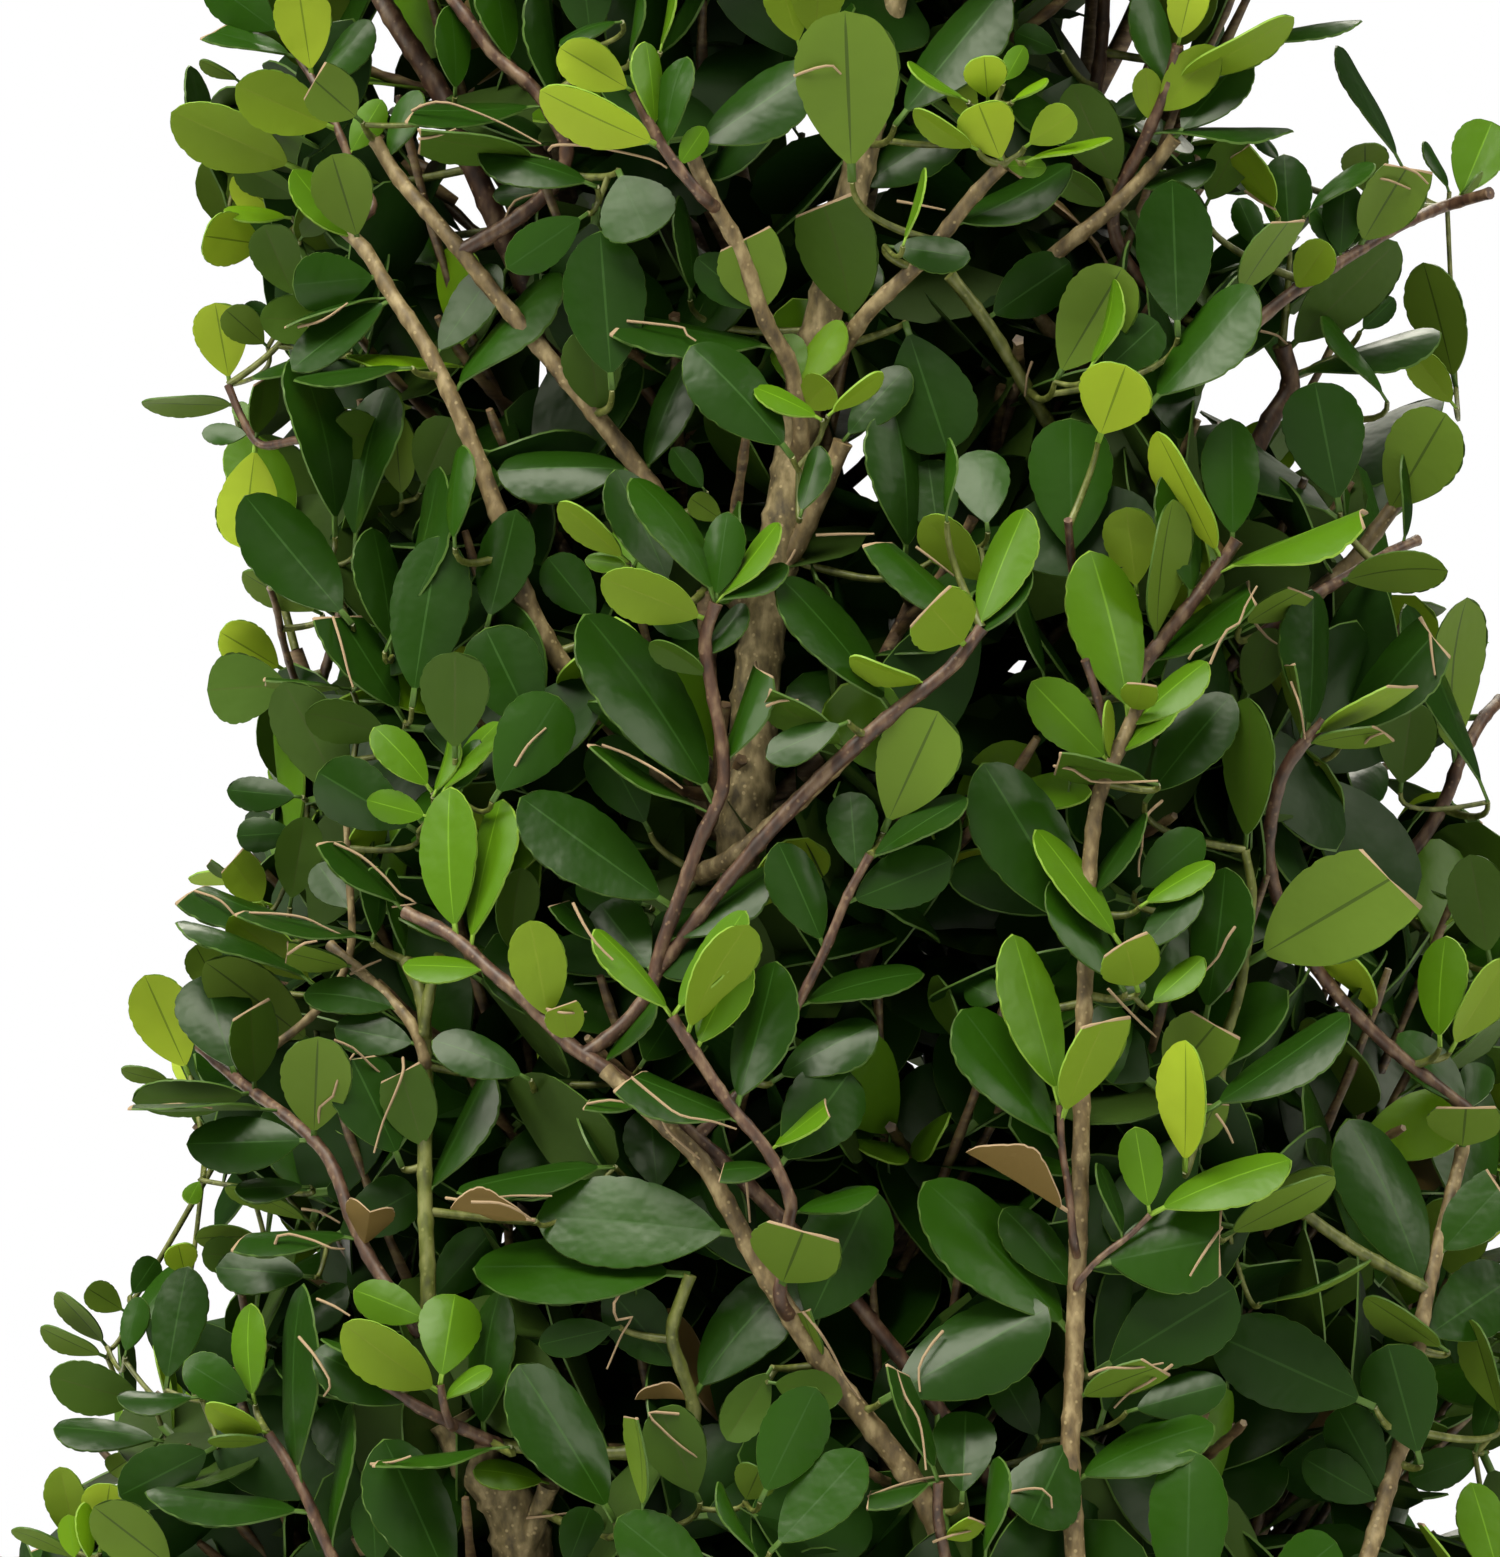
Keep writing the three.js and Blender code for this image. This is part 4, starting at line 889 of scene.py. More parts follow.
for order, read in enumerate(front_leaves):
    front_rows.append(front_leaf(*read, random.Random(order)))
for _, _, point, radius in stem_points:
    for aside in np.linspace(-1, 1, 5 + 2 * round(radius / mm)):
        keep_clear(point + Vector((aside * (radius + 0.5 * mm), 0, 0)), point.y)

# Round gaps between the leaves, each with its middle and radius in pixels. The sky shows through the first
# ones, and in the dark ones the view reaches deep into the shaded inside.
sky_gaps = [
    (783, 152, 10), (862, 455, 24), (485, 205, 22), (435, 140, 12), (388, 60, 12), (530, 370, 16),
    (555, 435, 9), (268, 350, 12), (240, 380, 10), (330, 465, 12), (1122, 60, 24), (1132, 290, 10),
    (1245, 385, 24), (1310, 195, 14), (1400, 290, 18), (1410, 370, 14), (1002, 700, 6), (1370, 820, 10),
    (1330, 972, 7), (1265, 1005, 6), (1432, 1510, 12), (1470, 1520, 12), (1480, 1470, 12), (1437, 760, 10),
    (316, 1020, 8), (460, 990, 8), (213, 1322, 7), (195, 1360, 8), (152, 1405, 9), (375, 1420, 7),
    (1290, 80, 46), (1350, 120, 34), (1225, 112, 18), (1310, 165, 22), (1405, 112, 22), (1230, 212, 18),
    (1225, 255, 12), (1430, 240, 26), (1462, 240, 14), (1430, 520, 28), (1458, 505, 16), (1405, 545, 14),
    (225, 190, 12), (205, 30, 18), (208, 290, 12), (200, 505, 18), (230, 522, 12), (310, 630, 24),
    (318, 685, 8), (245, 602, 14), (205, 735, 24), (205, 790, 26), (218, 840, 20), (242, 750, 10),
    (188, 930, 26), (166, 960, 14), (222, 925, 10), (165, 1140, 24), (150, 1175, 28), (115, 1235, 32),
    (152, 1230, 32), (200, 1205, 18), (245, 1215, 14), (82, 1318, 12), (66, 1375, 14), (60, 1415, 14),
    (100, 1410, 12), (45, 1450, 24), (85, 1460, 12), (335, 470, 8), (280, 472, 8), (10, 1480, 20),
    (1260, 30, 14),
]
dark_gaps = [
    (545, 1090, 16), (915, 1055, 22), (930, 1170, 22), (802, 1000, 14), (672, 842, 14), (975, 928, 18),
    (985, 1140, 26), (1302, 982, 16), (1275, 1110, 18), (1356, 1100, 22), (915, 1240, 30), (886, 1320, 20),
    (1018, 1400, 26), (1260, 1440, 24), (1260, 1500, 26), (1268, 1306, 20), (1270, 1535, 22),
    (632, 1410, 20), (850, 1370, 26), (870, 1500, 16), (240, 1532, 26), (222, 1326, 10), (417, 1258, 12),
    (460, 1013, 20), (478, 1130, 24), (1052, 610, 16), (868, 575, 20), (983, 713, 26), (1022, 665, 20),
    (805, 648, 14), (700, 45, 24), (755, 205, 30), (1022, 24, 18), (905, 1130, 26), (960, 1045, 14),
    (1200, 800, 22), (1330, 1290, 18),
]
sky_margin = 4  # pixels
dark_depth = 32 * mm
gap_cell = 5  # pixels


def cells_in(gaps, margin):
    """The small squares of the photograph that lie in round gaps or within a margin of them."""
    cells = set()
    for px, py, reach in gaps:
        wide = reach + margin
        for x in range(px - wide, px + wide, gap_cell):
            for y in range(py - wide, py + wide, gap_cell):
                if math.hypot(x - px, y - py) < wide:
                    cells.add(cell_at(x, y, gap_cell))
    return cells


sky_cells = cells_in(sky_gaps, sky_margin)
dark_cells = cells_in(dark_gaps, 0)


def in_the_way(point):
    """True where a piece grown by rule would stand before the front shoots or fill a gap."""
    px, py = pixel_of(point)
    depth = nearest_front.get(cell_at(px, py, front_cell))
    if depth is None:
        if not (0 <= px <= photo_width and 0 <= py <= photo_height):
            return False
        cell = cell_at(px, py, face_cell)
        if cell not in face_depths:
            middle = [(step + 0.5) * face_cell for step in cell]
            face_depths[cell] = face_depth(*middle) + bare_depth
        depth = face_depths[cell]
    cell = cell_at(px, py, gap_cell)
    if cell in dark_cells and point.y < face_depth(px, py) + dark_depth:
        return True
    return point.y < depth or cell in sky_cells


fine_grain = (620.0, 620.0, 300.0)
stem_barks = {}
for skin, *look in (
    ("purple", "purple_bark", (0.022, 0.009, 0.006), (0.065, 0.03, 0.017), (0.15, 0.095, 0.055), 0.5, 0.35),
    ("tan", "tan_bark", (0.05, 0.032, 0.012), (0.13, 0.09, 0.036), (0.26, 0.2, 0.1), 0.6, 0.4),
    ("green", "green_bark", (0.035, 0.042, 0.006), (0.08, 0.095, 0.012), (0.15, 0.16, 0.045), 0.5, 0.3),
    ("old", "old_limb_bark", (0.05, 0.036, 0.015), (0.155, 0.118, 0.05), (0.32, 0.25, 0.13), 0.7, 0.5),
):
    stem_barks[skin] = bark(*look, fine_grain)
for name, skin, lines, sides in (
    ("front_stems_purple", "purple", stem_lines["purple"], 10),
    ("front_stems_tan", "tan", stem_lines["tan"], 10),
    ("front_stems_green", "green", stem_lines["green"], 10),
    ("front_stems_old", "old", stem_lines["old"], 16),
    ("front_side_twigs", "green", side_twigs, 5),
):
    piece = limbs.run(
        lines_mesh(lines), name, Sides=sides, Relief=0.05 * mm, Wrinkles=0.5, Bark=stem_barks[skin]
    )
    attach(piece, "root")

# Branchlets and shoots
# From each mass's bough, branchlets climb towards the face of the crown and split there into leafy shoots,
# most of which end a little inside the clipped face. The shoots are brown, thin and knotty.
shoot_spacing = 23 * mm
tip_spacing = 15 * mm
branchlet_radius = (1.7 * mm, 0.95 * mm)
shoot_radius = (0.95 * mm, 0.6 * mm)
shoot_knots = (0.94, 1.22)
outer_share = 0.72  # of the shoots, which end near the clipped face, and the others deeper
outer_depths = (6, 17)  # millimetres
inner_depths = (20, 38)  # millimetres
fork_inside = 22 * mm  # from a branchlet's fork to the ends of its shoots
fork_drop = 24 * mm
least_height = 7 * mm  # above the ground, for anything that grows
least_bend = 1.3 * least_height


def shoot_ends(number, course, index, dice):
    """Ends of the shoots of one mass, spread over its face, in groups that share a branchlet."""
    half = math.pi / course["masses"]
    spacing = shoot_spacing if course["masses"] > 1 else tip_spacing
    middle = math.radians(course["turn"]) + 2 * half * (index - 1)
    centre = crown_point(middle, 0, 0)
    halfway = (foot_at(number, centre) + foot_at(number + 1, centre)) / 2
    columns = max(2, round(2 * half * crown_at(halfway) / spacing))
    groups = {}
    for column in range(columns):
        turn = middle + half * ((2 * column + 1) / columns - 1)
        face = crown_point(turn, 0.9 * crown_at(halfway), 0)
        low, high = foot_at(number, face), foot_at(number + 1, face)
        rows = max(2, round((high - low) / spacing))
        for row in range(rows):
            z = low + (high - low) * (row + 0.3 + 0.4 * (column % 2)) / rows
            z += dice.uniform(-0.3, 0.3) * spacing
            z = min(max(z, 2.5 * least_height), height - 16 * mm)
            around = math.remainder(turn, 2 * math.pi)
            face_radius = crown_at(z, around)
            inside = dice.uniform(*(outer_depths if dice.random() < outer_share else inner_depths))
            radius = face_radius - min(inside * mm, 0.45 * face_radius)
            place = turn + dice.uniform(-0.35, 0.35) * spacing / max(face_radius, 20 * mm)
            groups.setdefault((column // 2, row // 2), []).append(crown_point(place, radius, z))
    return list(groups.values())


def clear_part(line):
    """A line from its root up to where it would stand before the front shoots or in a gap."""
    for i, (point, _) in enumerate(line):
        if in_the_way(point):
            return line[: max(i - 1, 0)]
    return line


twigs, shoots = [], []
for number, (name, course) in enumerate(courses.items()):
    for index in range(1, course["masses"] + 1):
        dice = random.Random(f"{name} {index}")
        limb = mass_limbs[name, index]
        for group in shoot_ends(number, course, index, dice):
            middle = sum(group, Vector()) / len(group)
            core = Vector((crown_axis.x, crown_axis.y, middle.z))
            reach = max((middle - core).length, 1 * mm)
            fork = core + (middle - core) * max(0.3, 1 - fork_inside / reach)
            fork.z = max(fork.z - min(fork_drop, 0.3 * reach + 8 * mm), 1.6 * least_height)
            start, thick = nearest_climb([limb[2:], trunk_line[8:]], fork)
            twig = bent(start, low_bend(start, fork, 0.65, 0.35, least_bend), fork, 10)
            twigs.append(clear_part(tapered(twig, min(branchlet_radius[0], thick), branchlet_radius[1])))
            for count, end in enumerate(group):
                root = twig[-1 - (count % 4)]
                points = bent(root, low_bend(root, end, 0.55, 0.3, least_bend), end, 12)
                line = clear_part(tapered(points, *shoot_radius))
                if len(line) > 4:
                    line = knotted(line, [shoot_knots[i % 2] for i in range(len(line))])
                    shoots.append(dict(course=name, line=line, seed=dice.random()))
twigs = [line for line in twigs if len(line) > 2]
branchlets = limbs.run(
    lines_mesh(twigs), "branchlets", Sides=6, Relief=0.06 * mm, Wrinkles=0.8, Bark=young_bark
)
shoot_bark = bark("shoot_bark", (0.03, 0.016, 0.008), (0.085, 0.05, 0.022), (0.15, 0.11, 0.045), 0.5, 0.2)
shoot_lines = [shoot["line"] for shoot in shoots]
leafy_shoots = limbs.run(
    lines_mesh(shoot_lines), "leafy_shoots", Sides=5, Relief=0.03 * mm, Wrinkles=0.5, Bark=shoot_bark
)
for piece in (branchlets, leafy_shoots):
    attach(piece, "root")

# Leaves
# Leathery leaves 20 to 32 mm long on short stalks, broadest beyond the middle. They turn round each shoot by
# a steady angle, lean out from it and bend each its own way. The shears have cut some off straight, and their
# cut edges have dried to tan. Only the leaves read from the photograph show a midrib and shallow teeth.
upper, under, rim, rib, vein, dry = range(6)
stalk_length = 0.1
stations = [0, 0.11, 0.28, 0.5, 0.72, 0.89, 1]
up_columns = [-1, -0.45, 0, 0.45, 1]
down_columns = [-1, 0, 1]
fine_stations = [0, 0.11, 0.2, 0.34, 0.49, 0.64, 0.79, 0.91, 1]
fine_up_columns = [-1, -0.52, -0.03, 0.03, 0.52, 1]
fine_down_columns = [-1, -0.035, 0.035, 1]
stalk_width = 0.075
rim_width = 0.009
tooth_depth = 0.036
first_tooth = 0.35
short_cut = 0.56
dry_strip = 0.018
cut_hollow = 0.016
cut_room = 0.04  # from the last station to a cut
slant_reach = 0.3
leaf_shapes = {"oval": (0.58, 0.8, 0.58), "broad": (0.64, 0.85, 0.478), "clipped": (0.48, 0.8, 0.867)}


def half_width(u, shape):
    """Half the width of a leaf at a share of its length, 1 where it is broadest."""
    broadest, foot, end = leaf_shapes[shape]
    share = clamp((u - stalk_length) / (1 - stalk_length))
    return max(stalk_width, (share / broadest) ** foot * ((1 - share) / (1 - broadest)) ** end)


def leaf_template(name, shape="oval", cut=1.0, slope=0.0, fine=False):
    """One leaf of unit length and unit half width, lying flat: an upper side, an underside and the rim.

    A cut leaf ends at a straight slanting edge with a dry strip along it. A fine one has a midrib and teeth.
    """
    ups = fine_up_columns if fine else up_columns
    downs = fine_down_columns if fine else down_columns
    shares = [u for u in (fine_stations if fine else stations) if u < cut - cut_room]
    shares += [cut - dry_strip, cut] if cut < 1 else [1]
    points, faces, finish = [], [], []

    def vertex(u, y, lift, beyond=0.0, tooth=0.0):
        width = half_width(u, shape)
        reach = u
        if cut < 1:
            reach += slope * clamp((u - cut + slant_reach) / slant_reach) * y * width
            reach -= cut_hollow * (1 - abs(y)) if u == cut else 0
        elif u == 1:
            reach += beyond
        points.append((reach, y * (width * (1 - tooth) + beyond) if u < 1 else 0, lift))
        return len(points) - 1

    def face(kind, *corners):
        kept = [c for i, c in enumerate(corners) if c != corners[i - 1]]
        if len(kept) > 2:
            faces.append(kept)
            finish.append(kind)

    sides = []
    for columns, lift, beyond in ((ups, 0.5, 0.0), (downs, -0.5, rim_width)):
        rows = []
        for u in shares:
            edge = (beyond, tooth_depth if fine and first_tooth < u < min(1, cut - cut_room) else 0.0)
            if u == 1:
                rows.append([vertex(u, 0, lift, beyond)] * len(columns))
            else:
                rows.append([vertex(u, y, lift, *(edge if abs(y) == 1 else ())) for y in columns])
        between = []
        for u, v in zip(shares, shares[1:]):
            parts = [u + (v - u) * share for share in ((0.25, 0.5, 0.75) if fine else (0.5,))]
            between.append([[vertex(part, y, lift, beyond) for part in parts] for y in (-1, 1)])
        sides.append((rows, between))
    (up, up_mid), (down, down_mid) = sides
    for k in range(len(shares) - 1):
        dried = cut < 1 and k == len(shares) - 2
        a, b, c, d = up[k], up[k + 1], down[k], down[k + 1]
        left, right = up_mid[k]
        low_left, low_right = down_mid[k]
        for j in range(len(ups) - 1):
            kind = dry if dried else (rim if k == 0 else (rib if fine and j == 2 else upper))
            extra_left = left if j == 0 else []
            extra_right = right[::-1] if j == len(ups) - 2 else []
            face(kind, a[j + 1], a[j], *extra_left, b[j], b[j + 1], *extra_right)
        for j in range(len(downs) - 1):
            kind = dry if dried else (rim if k == 0 else (vein if fine and j == 1 else under))
            extra_left = low_left[::-1] if j == 0 else []
            extra_right = low_right if j == len(downs) - 2 else []
            face(kind, c[j], c[j + 1], *extra_right, d[j + 1], d[j], *extra_left)
        kind = dry if dried else rim
        face(kind, c[0], *low_left, d[0], b[0], *left[::-1], a[0])
        face(kind, a[-1], *right, b[-1], d[-1], *low_right[::-1], c[-1])
    face(rim, *up[0], *down[0][::-1])
    if cut < 1:
        face(dry, *up[-1][::-1], *down[-1])
    return leaf_mesh(name, points, faces, finish)


def plain_leaf(name):
    """A leaf for the crown's shaded inside, with fewer faces."""
    points, faces, finish = [(0, 0, 0)], [], []
    rows = []
    for u in (0.18, 0.42, 0.7, 0.9):
        width = half_width(u, "oval")
        start = len(points)
        points += [(u, -width, 0), (u, 0, 0.5), (u, width, 0), (u, 0, -0.5)]
        rows.append([start, start + 1, start + 2, start + 3])
    points.append((1, 0, 0))
    rows = [[0] * 4] + rows + [[len(points) - 1] * 4]
    for a, b in zip(rows, rows[1:]):
        for j, kind in enumerate((upper, upper, under, under)):
            corners = [a[(j + 1) % 4], a[j], b[j], b[(j + 1) % 4]]
            faces.append([c for i, c in enumerate(corners) if c != corners[i - 1]])
            finish.append(kind)
    return leaf_mesh(name, points, faces, finish)


def leaf_mesh(name, points, faces, finish):
    mesh = bpy.data.meshes.new(name)
    mesh.from_pydata(points, [], faces)
    mesh.attributes.new("finish", "INT", "FACE").data.foreach_set("value", finish)
    mesh.polygons.foreach_set("use_smooth", [True] * len(faces))
    skins = {}
    for polygon in mesh.polygons:
        skin = {rib: upper, vein: under}.get(finish[polygon.index], finish[polygon.index])
        for key in polygon.edge_keys:
            skins.setdefault(key, set()).add(skin)
    sharp = [len(skins[tuple(sorted(edge.vertices))]) > 1 for edge in mesh.edges]
    mesh.attributes.new("sharp_edge", "BOOLEAN", "EDGE").data.foreach_set("value", sharp)
    return bpy.data.objects.new(name, mesh)


cut_look = dict(shape="clipped", cut=long_cut, slope=0.07)
leaf_looks = {
    "whole": {},
    "cut_long": cut_look,
    "cut_short": dict(shape="clipped", cut=short_cut, slope=-0.1),
    "broad": dict(shape="broad"),
    "plain": None,
    "fine_whole": dict(fine=True),
    "fine_cut": dict(fine=True, **cut_look),
    "fine_broad": dict(fine=True, shape="broad"),
}
leaf_forms = bpy.data.collections.new("leaf_forms")
form_numbers = {}
for number, (form, look) in enumerate(leaf_looks.items()):
    name = f"form_{number}_{form}"
    leaf_forms.objects.link(plain_leaf(name) if look is None else leaf_template(name, **look))
    form_numbers[form] = number
skin_kinds = dict(Upper=upper, Upper2=upper, Under=under, Under2=under, Rim=rim, Rib=rib, Vein=vein, Dry=dry)
leaves = Modifier("leaves", Forms="Collection", Thickness="Float", **dict.fromkeys(skin_kinds, "Material"))
forms = leaves.node(
    "GeometryNodeCollectionInfo",
    {"Collection": leaves.input("Forms"), "Separate Children": True, "Reset Children": True},
)
placed = leaves.node(
    "GeometryNodeInstanceOnPoints",
    {
        "Points": leaves.input("Geometry"),
        "Instance": forms,
        "Pick Instance": True,
        "Instance Index": leaves.attribute("form", "INT"),
    },
)
loose = leaves.node("GeometryNodeRealizeInstances", [placed])
root = leaves.attribute("root", "FLOAT_VECTOR")
from_root = leaves.node("GeometryNodeInputPosition").vector("SUBTRACT", root)
local = leaves.node("ShaderNodeSeparateXYZ", [from_root])
reach, side, skin = (local.output(axis) for axis in "XYZ")
edge_waves = 7.0  # radians along a leaf
length = leaves.attribute("length")
curl = leaves.attribute("curl")
across = side * leaves.attribute("width") * length * 0.5
forward = length * (reach - curl * curl * reach * reach * reach / 6.0)
wave = (reach * edge_waves + leaves.attribute("phase")).math("SINE") * side * side
lift = across.math("ABSOLUTE") * leaves.attribute("fold") + wave * leaves.attribute("wave") * length
lift = lift - length * curl * reach * reach * 0.5 + across * reach * leaves.attribute("twist")
lift = lift - side * side * leaves.attribute("cup") * length + skin * leaves.input("Thickness")
along = leaves.attribute("along", "FLOAT_VECTOR")
face_up = leaves.attribute("face_up", "FLOAT_VECTOR")
sideways = face_up.vector("CROSS_PRODUCT", along)
spot = root.vector("ADD", along.vector("SCALE", scale=forward))
spot = spot.vector("ADD", sideways.vector("SCALE", scale=across))
spot = spot.vector("ADD", face_up.vector("SCALE", scale=lift))
painted = leaves.node("GeometryNodeSetPosition", {"Geometry": loose, "Position": spot})
finish = leaves.attribute("finish", "INT")
second = leaves.node(
    "FunctionNodeCompare", {0: leaves.attribute("tone"), 1: 0.5}, data_type="FLOAT", operation="GREATER_THAN"
)
for title, kind in skin_kinds.items():
    which = leaves.node("FunctionNodeCompare", {2: finish, 3: kind}, data_type="INT", operation="EQUAL")
    if title.endswith("2"):
        which = leaves.node("FunctionNodeBooleanMath", [which, second], operation="AND")
    painted = leaves.node(
        "GeometryNodeSetMaterial", {"Geometry": painted, "Selection": which, "Material": leaves.input(title)}
    )
leaves.finish(painted)


def leaf_skin(name, colour, roughness, glow=0.0, gloss=0.25):
    """A leaf's skin: waxy, with a faint mottle, and light that comes through it from behind."""
    material, tree, shader = new_material(name)
    shader.inputs["Base Color"].default_value = (*colour, 1)
    shader.inputs["Specular IOR Level"].default_value = gloss
    mottle = tree.noise(tree.node("ShaderNodeTexCoord", out=3), 240.0, 2.0)
    rough = mottle * 0.16 + (roughness - 0.08)
    rough.feed(shader.inputs["Roughness"])
    bulges = tree.node("ShaderNodeBump", {"Height": mottle, "Strength": 0.5, "Distance": 0.45 * mm})
    bulges.feed(shader.inputs["Normal"])
    if glow:
        lit = [min(1, 1.5 * c) for c in colour]
        through = tree.node("ShaderNodeBsdfTranslucent", {"Color": (*lit, 1)})
        both = tree.node("ShaderNodeMixShader", [glow, Value(tree, shader.outputs[0]), through])
        both.feed(material.node_tree.nodes["Material Output"].inputs["Surface"])
    return material


dry_skin = leaf_skin("dry_edge", (0.3, 0.215, 0.13), 0.75, 0.1, 0.3)
mature = dict(
    Forms=leaf_forms,
    Thickness=0.32 * mm,
    Upper=leaf_skin("leaf_dark_upper", (0.01, 0.037, 0.002), 0.32, 0.1, 0.21),
    Upper2=leaf_skin("leaf_green_upper", (0.015, 0.055, 0.002), 0.32, 0.14, 0.22),
    Under=leaf_skin("leaf_dark_under", (0.04, 0.09, 0.003), 0.6, 0.2),
    Under2=leaf_skin("leaf_pale_under", (0.105, 0.18, 0.014), 0.6, 0.25),
    # The rim and stalk are paler: partly the leaf's own pale edge, partly a painted highlight along the edge.
    Rim=leaf_skin("leaf_rim", (0.06, 0.12, 0.02), 0.45, 0.1),
    Rib=leaf_skin("leaf_rib", (0.019, 0.062, 0.006), 0.4, 0.1),
    Vein=leaf_skin("leaf_vein", (0.042, 0.078, 0.005), 0.55, 0.12),
    Dry=dry_skin,
)
newest = mature | dict(
    Upper=leaf_skin("young_leaf_bright", (0.074, 0.175, 0.004), 0.38, 0.28),
    Upper2=leaf_skin("young_leaf_yellow", (0.13, 0.26, 0.005), 0.38, 0.32),
    Under=leaf_skin("young_leaf_under", (0.17, 0.265, 0.01), 0.6, 0.3),
    Under2=leaf_skin("young_leaf_pale_under", (0.36, 0.47, 0.028), 0.6, 0.32),
    # The rim and stalk are paler: partly the leaf's own pale edge, partly a painted highlight along the edge.
    Rim=leaf_skin("young_leaf_rim", (0.2, 0.34, 0.04), 0.5, 0.2),
    Rib=leaf_skin("young_leaf_rib", (0.12, 0.26, 0.01), 0.4, 0.2),
    Vein=leaf_skin("young_leaf_vein", (0.17, 0.25, 0.012), 0.6, 0.2),
)
# Darker copies of the mature skins, for the inside: partly the darker green of shade leaves, partly painted
# shade.
shaded = mature | dict(
    Upper=leaf_skin("shaded_leaf_upper", (0.007, 0.026, 0.002), 0.45, gloss=0.15),
    Under=leaf_skin("shaded_leaf_under", (0.022, 0.05, 0.002), 0.65, 0.1),
)
dead_skin = leaf_skin("dead_leaf", (0.13, 0.085, 0.022), 0.75, 0.08)
paler_parts = ("Rim", "Rib", "Dry")
withered = mature | {title: dry_skin if title in paler_parts else dead_skin for title in skin_kinds}


def leaves_mesh(rows):
    """Points that carry each leaf's place, turn, size and bends."""
    mesh = bpy.data.meshes.new("leaf_points")
    mesh.from_pydata([tuple(row["root"]) for row in rows], [], [])
    for name in ("root", "along", "face_up"):
        data = np.array([tuple(row[name]) for row in rows], dtype=np.float32).ravel()
        mesh.attributes.new(name, "FLOAT_VECTOR", "POINT").data.foreach_set("vector", data)
    for name in ("length", "width", "curl", "fold", "wave", "phase", "twist", "cup", "tone"):
        data = np.array([row[name] for row in rows], dtype=np.float32)
        mesh.attributes.new(name, "FLOAT", "POINT").data.foreach_set("value", data)
    data = np.array([form_numbers[row["form"]] for row in rows], dtype=np.int32)
    mesh.attributes.new("form", "INT", "POINT").data.foreach_set("value", data)
    return mesh


taken = {}
taken_cell = 8 * mm


def has_room(middle, room):
    """True if no other leaf's middle is close by, and keeps the place if so."""
    cell = tuple(math.floor(c / taken_cell) for c in middle)
    for around in itertools.product(*[(c - 1, c, c + 1) for c in cell]):
        if any((other - middle).length < room for other in taken.get(around, ())):
            return False
    taken.setdefault(cell, []).append(middle)
    return True


def beyond_crown(spot):
    """How far a point lies outside the clipped face, or below zero inside it."""
    away = spot.xy - crown_axis
    return away.length - crown_at(min(spot.z, height - 5 * mm), math.atan2(away.y, away.x))


askew = Vector((0.3, 1, 0.1))  # no shoot runs this way
light_pull = 0.35  # by which leaves turn their upper sides up
leaf_sway = 14  # degrees
middle_share = 0.55  # of a leaf's length, up to its broadest place


def grown_leaf(spot, ahead, turn, lean, size, dice):
    """One leaf by the rule of growth, or None where it has no room."""
    side = ahead.cross(askew).normalized()
    out = Quaternion(ahead, math.radians(turn)) @ side
    along = ahead * math.cos(lean) + out * math.sin(lean)
    face_up = ahead - along * ahead.dot(along)
    face_up = face_up.normalized() + Vector((0, 0, light_pull))
    face_up = (face_up - along * face_up.dot(along)).normalized()
    face_up = Quaternion(along, math.radians(dice.gauss(0, leaf_sway))) @ face_up
    width = dice.uniform(0.46, 0.62)
    tip = spot + along * size
    sideways = along.cross(face_up) * (0.42 * width * size)
    middle = spot + along * (middle_share * size)
    curl = dice.gauss(0.2, 0.25)
    droop = 0.5 * size * max(0, curl * face_up.z)
    if min(tip.z - droop, middle.z - abs(sideways.z)) < least_height or tip.z > height + 2 * mm:
        return None
    for share in (0, 0.2, 0.4, 0.6, 0.8, 1):
        place = spot.lerp(tip, share) - face_up * (0.5 * curl * share**2 * size)
        if any(in_the_way(place + sideways * side) for side in (-1, 0, 1)):
            return None
    return dict(
        root=spot,
        along=along,
        face_up=face_up,
        length=size,
        width=width,
        curl=curl,
        fold=dice.uniform(0, 0.2),
        wave=dice.uniform(0, 0.015),
        phase=dice.uniform(0, 6.28),
        twist=dice.gauss(0, 0.2),
        cup=dice.uniform(0.01, 0.11),
        form="broad" if width > broad_from else "whole",
        tip=tip,
        middle=middle,
    )


first_leaf = 1.2 * mm  # from the shoot's tip
leaf_gap = 5.4 * mm
full_lean = 56  # degrees from the shoot
tip_upright = 30  # degrees less at its tip
upright_length = 22 * mm
slim_crown = 50 * mm  # where the crown is slimmer than this, its leaves are smaller
leafy_length = 48 * mm
young_length = 14 * mm
young_leaf_gap = 0.55  # by the gap of the mature leaves
leaf_room = 4.6 * mm
pale_sprays = 0.42  # the share of the shoots whose mature leaves have the paler tone
young_sprays = 0.36  # of those with young leaves at the tip
yellow_sprays = 0.35  # of those whose young leaves have the second tone
dry_share = 0.012
cut_from = 2.5 * mm  # past the clipped face
short_cut_from = 8 * mm
most_beyond = 3.5 * mm
dark_inside = -24 * mm
kept_shares = {"cut_long": long_cut, "cut_short": 0.54}  # what the shears leave of a leaf's length


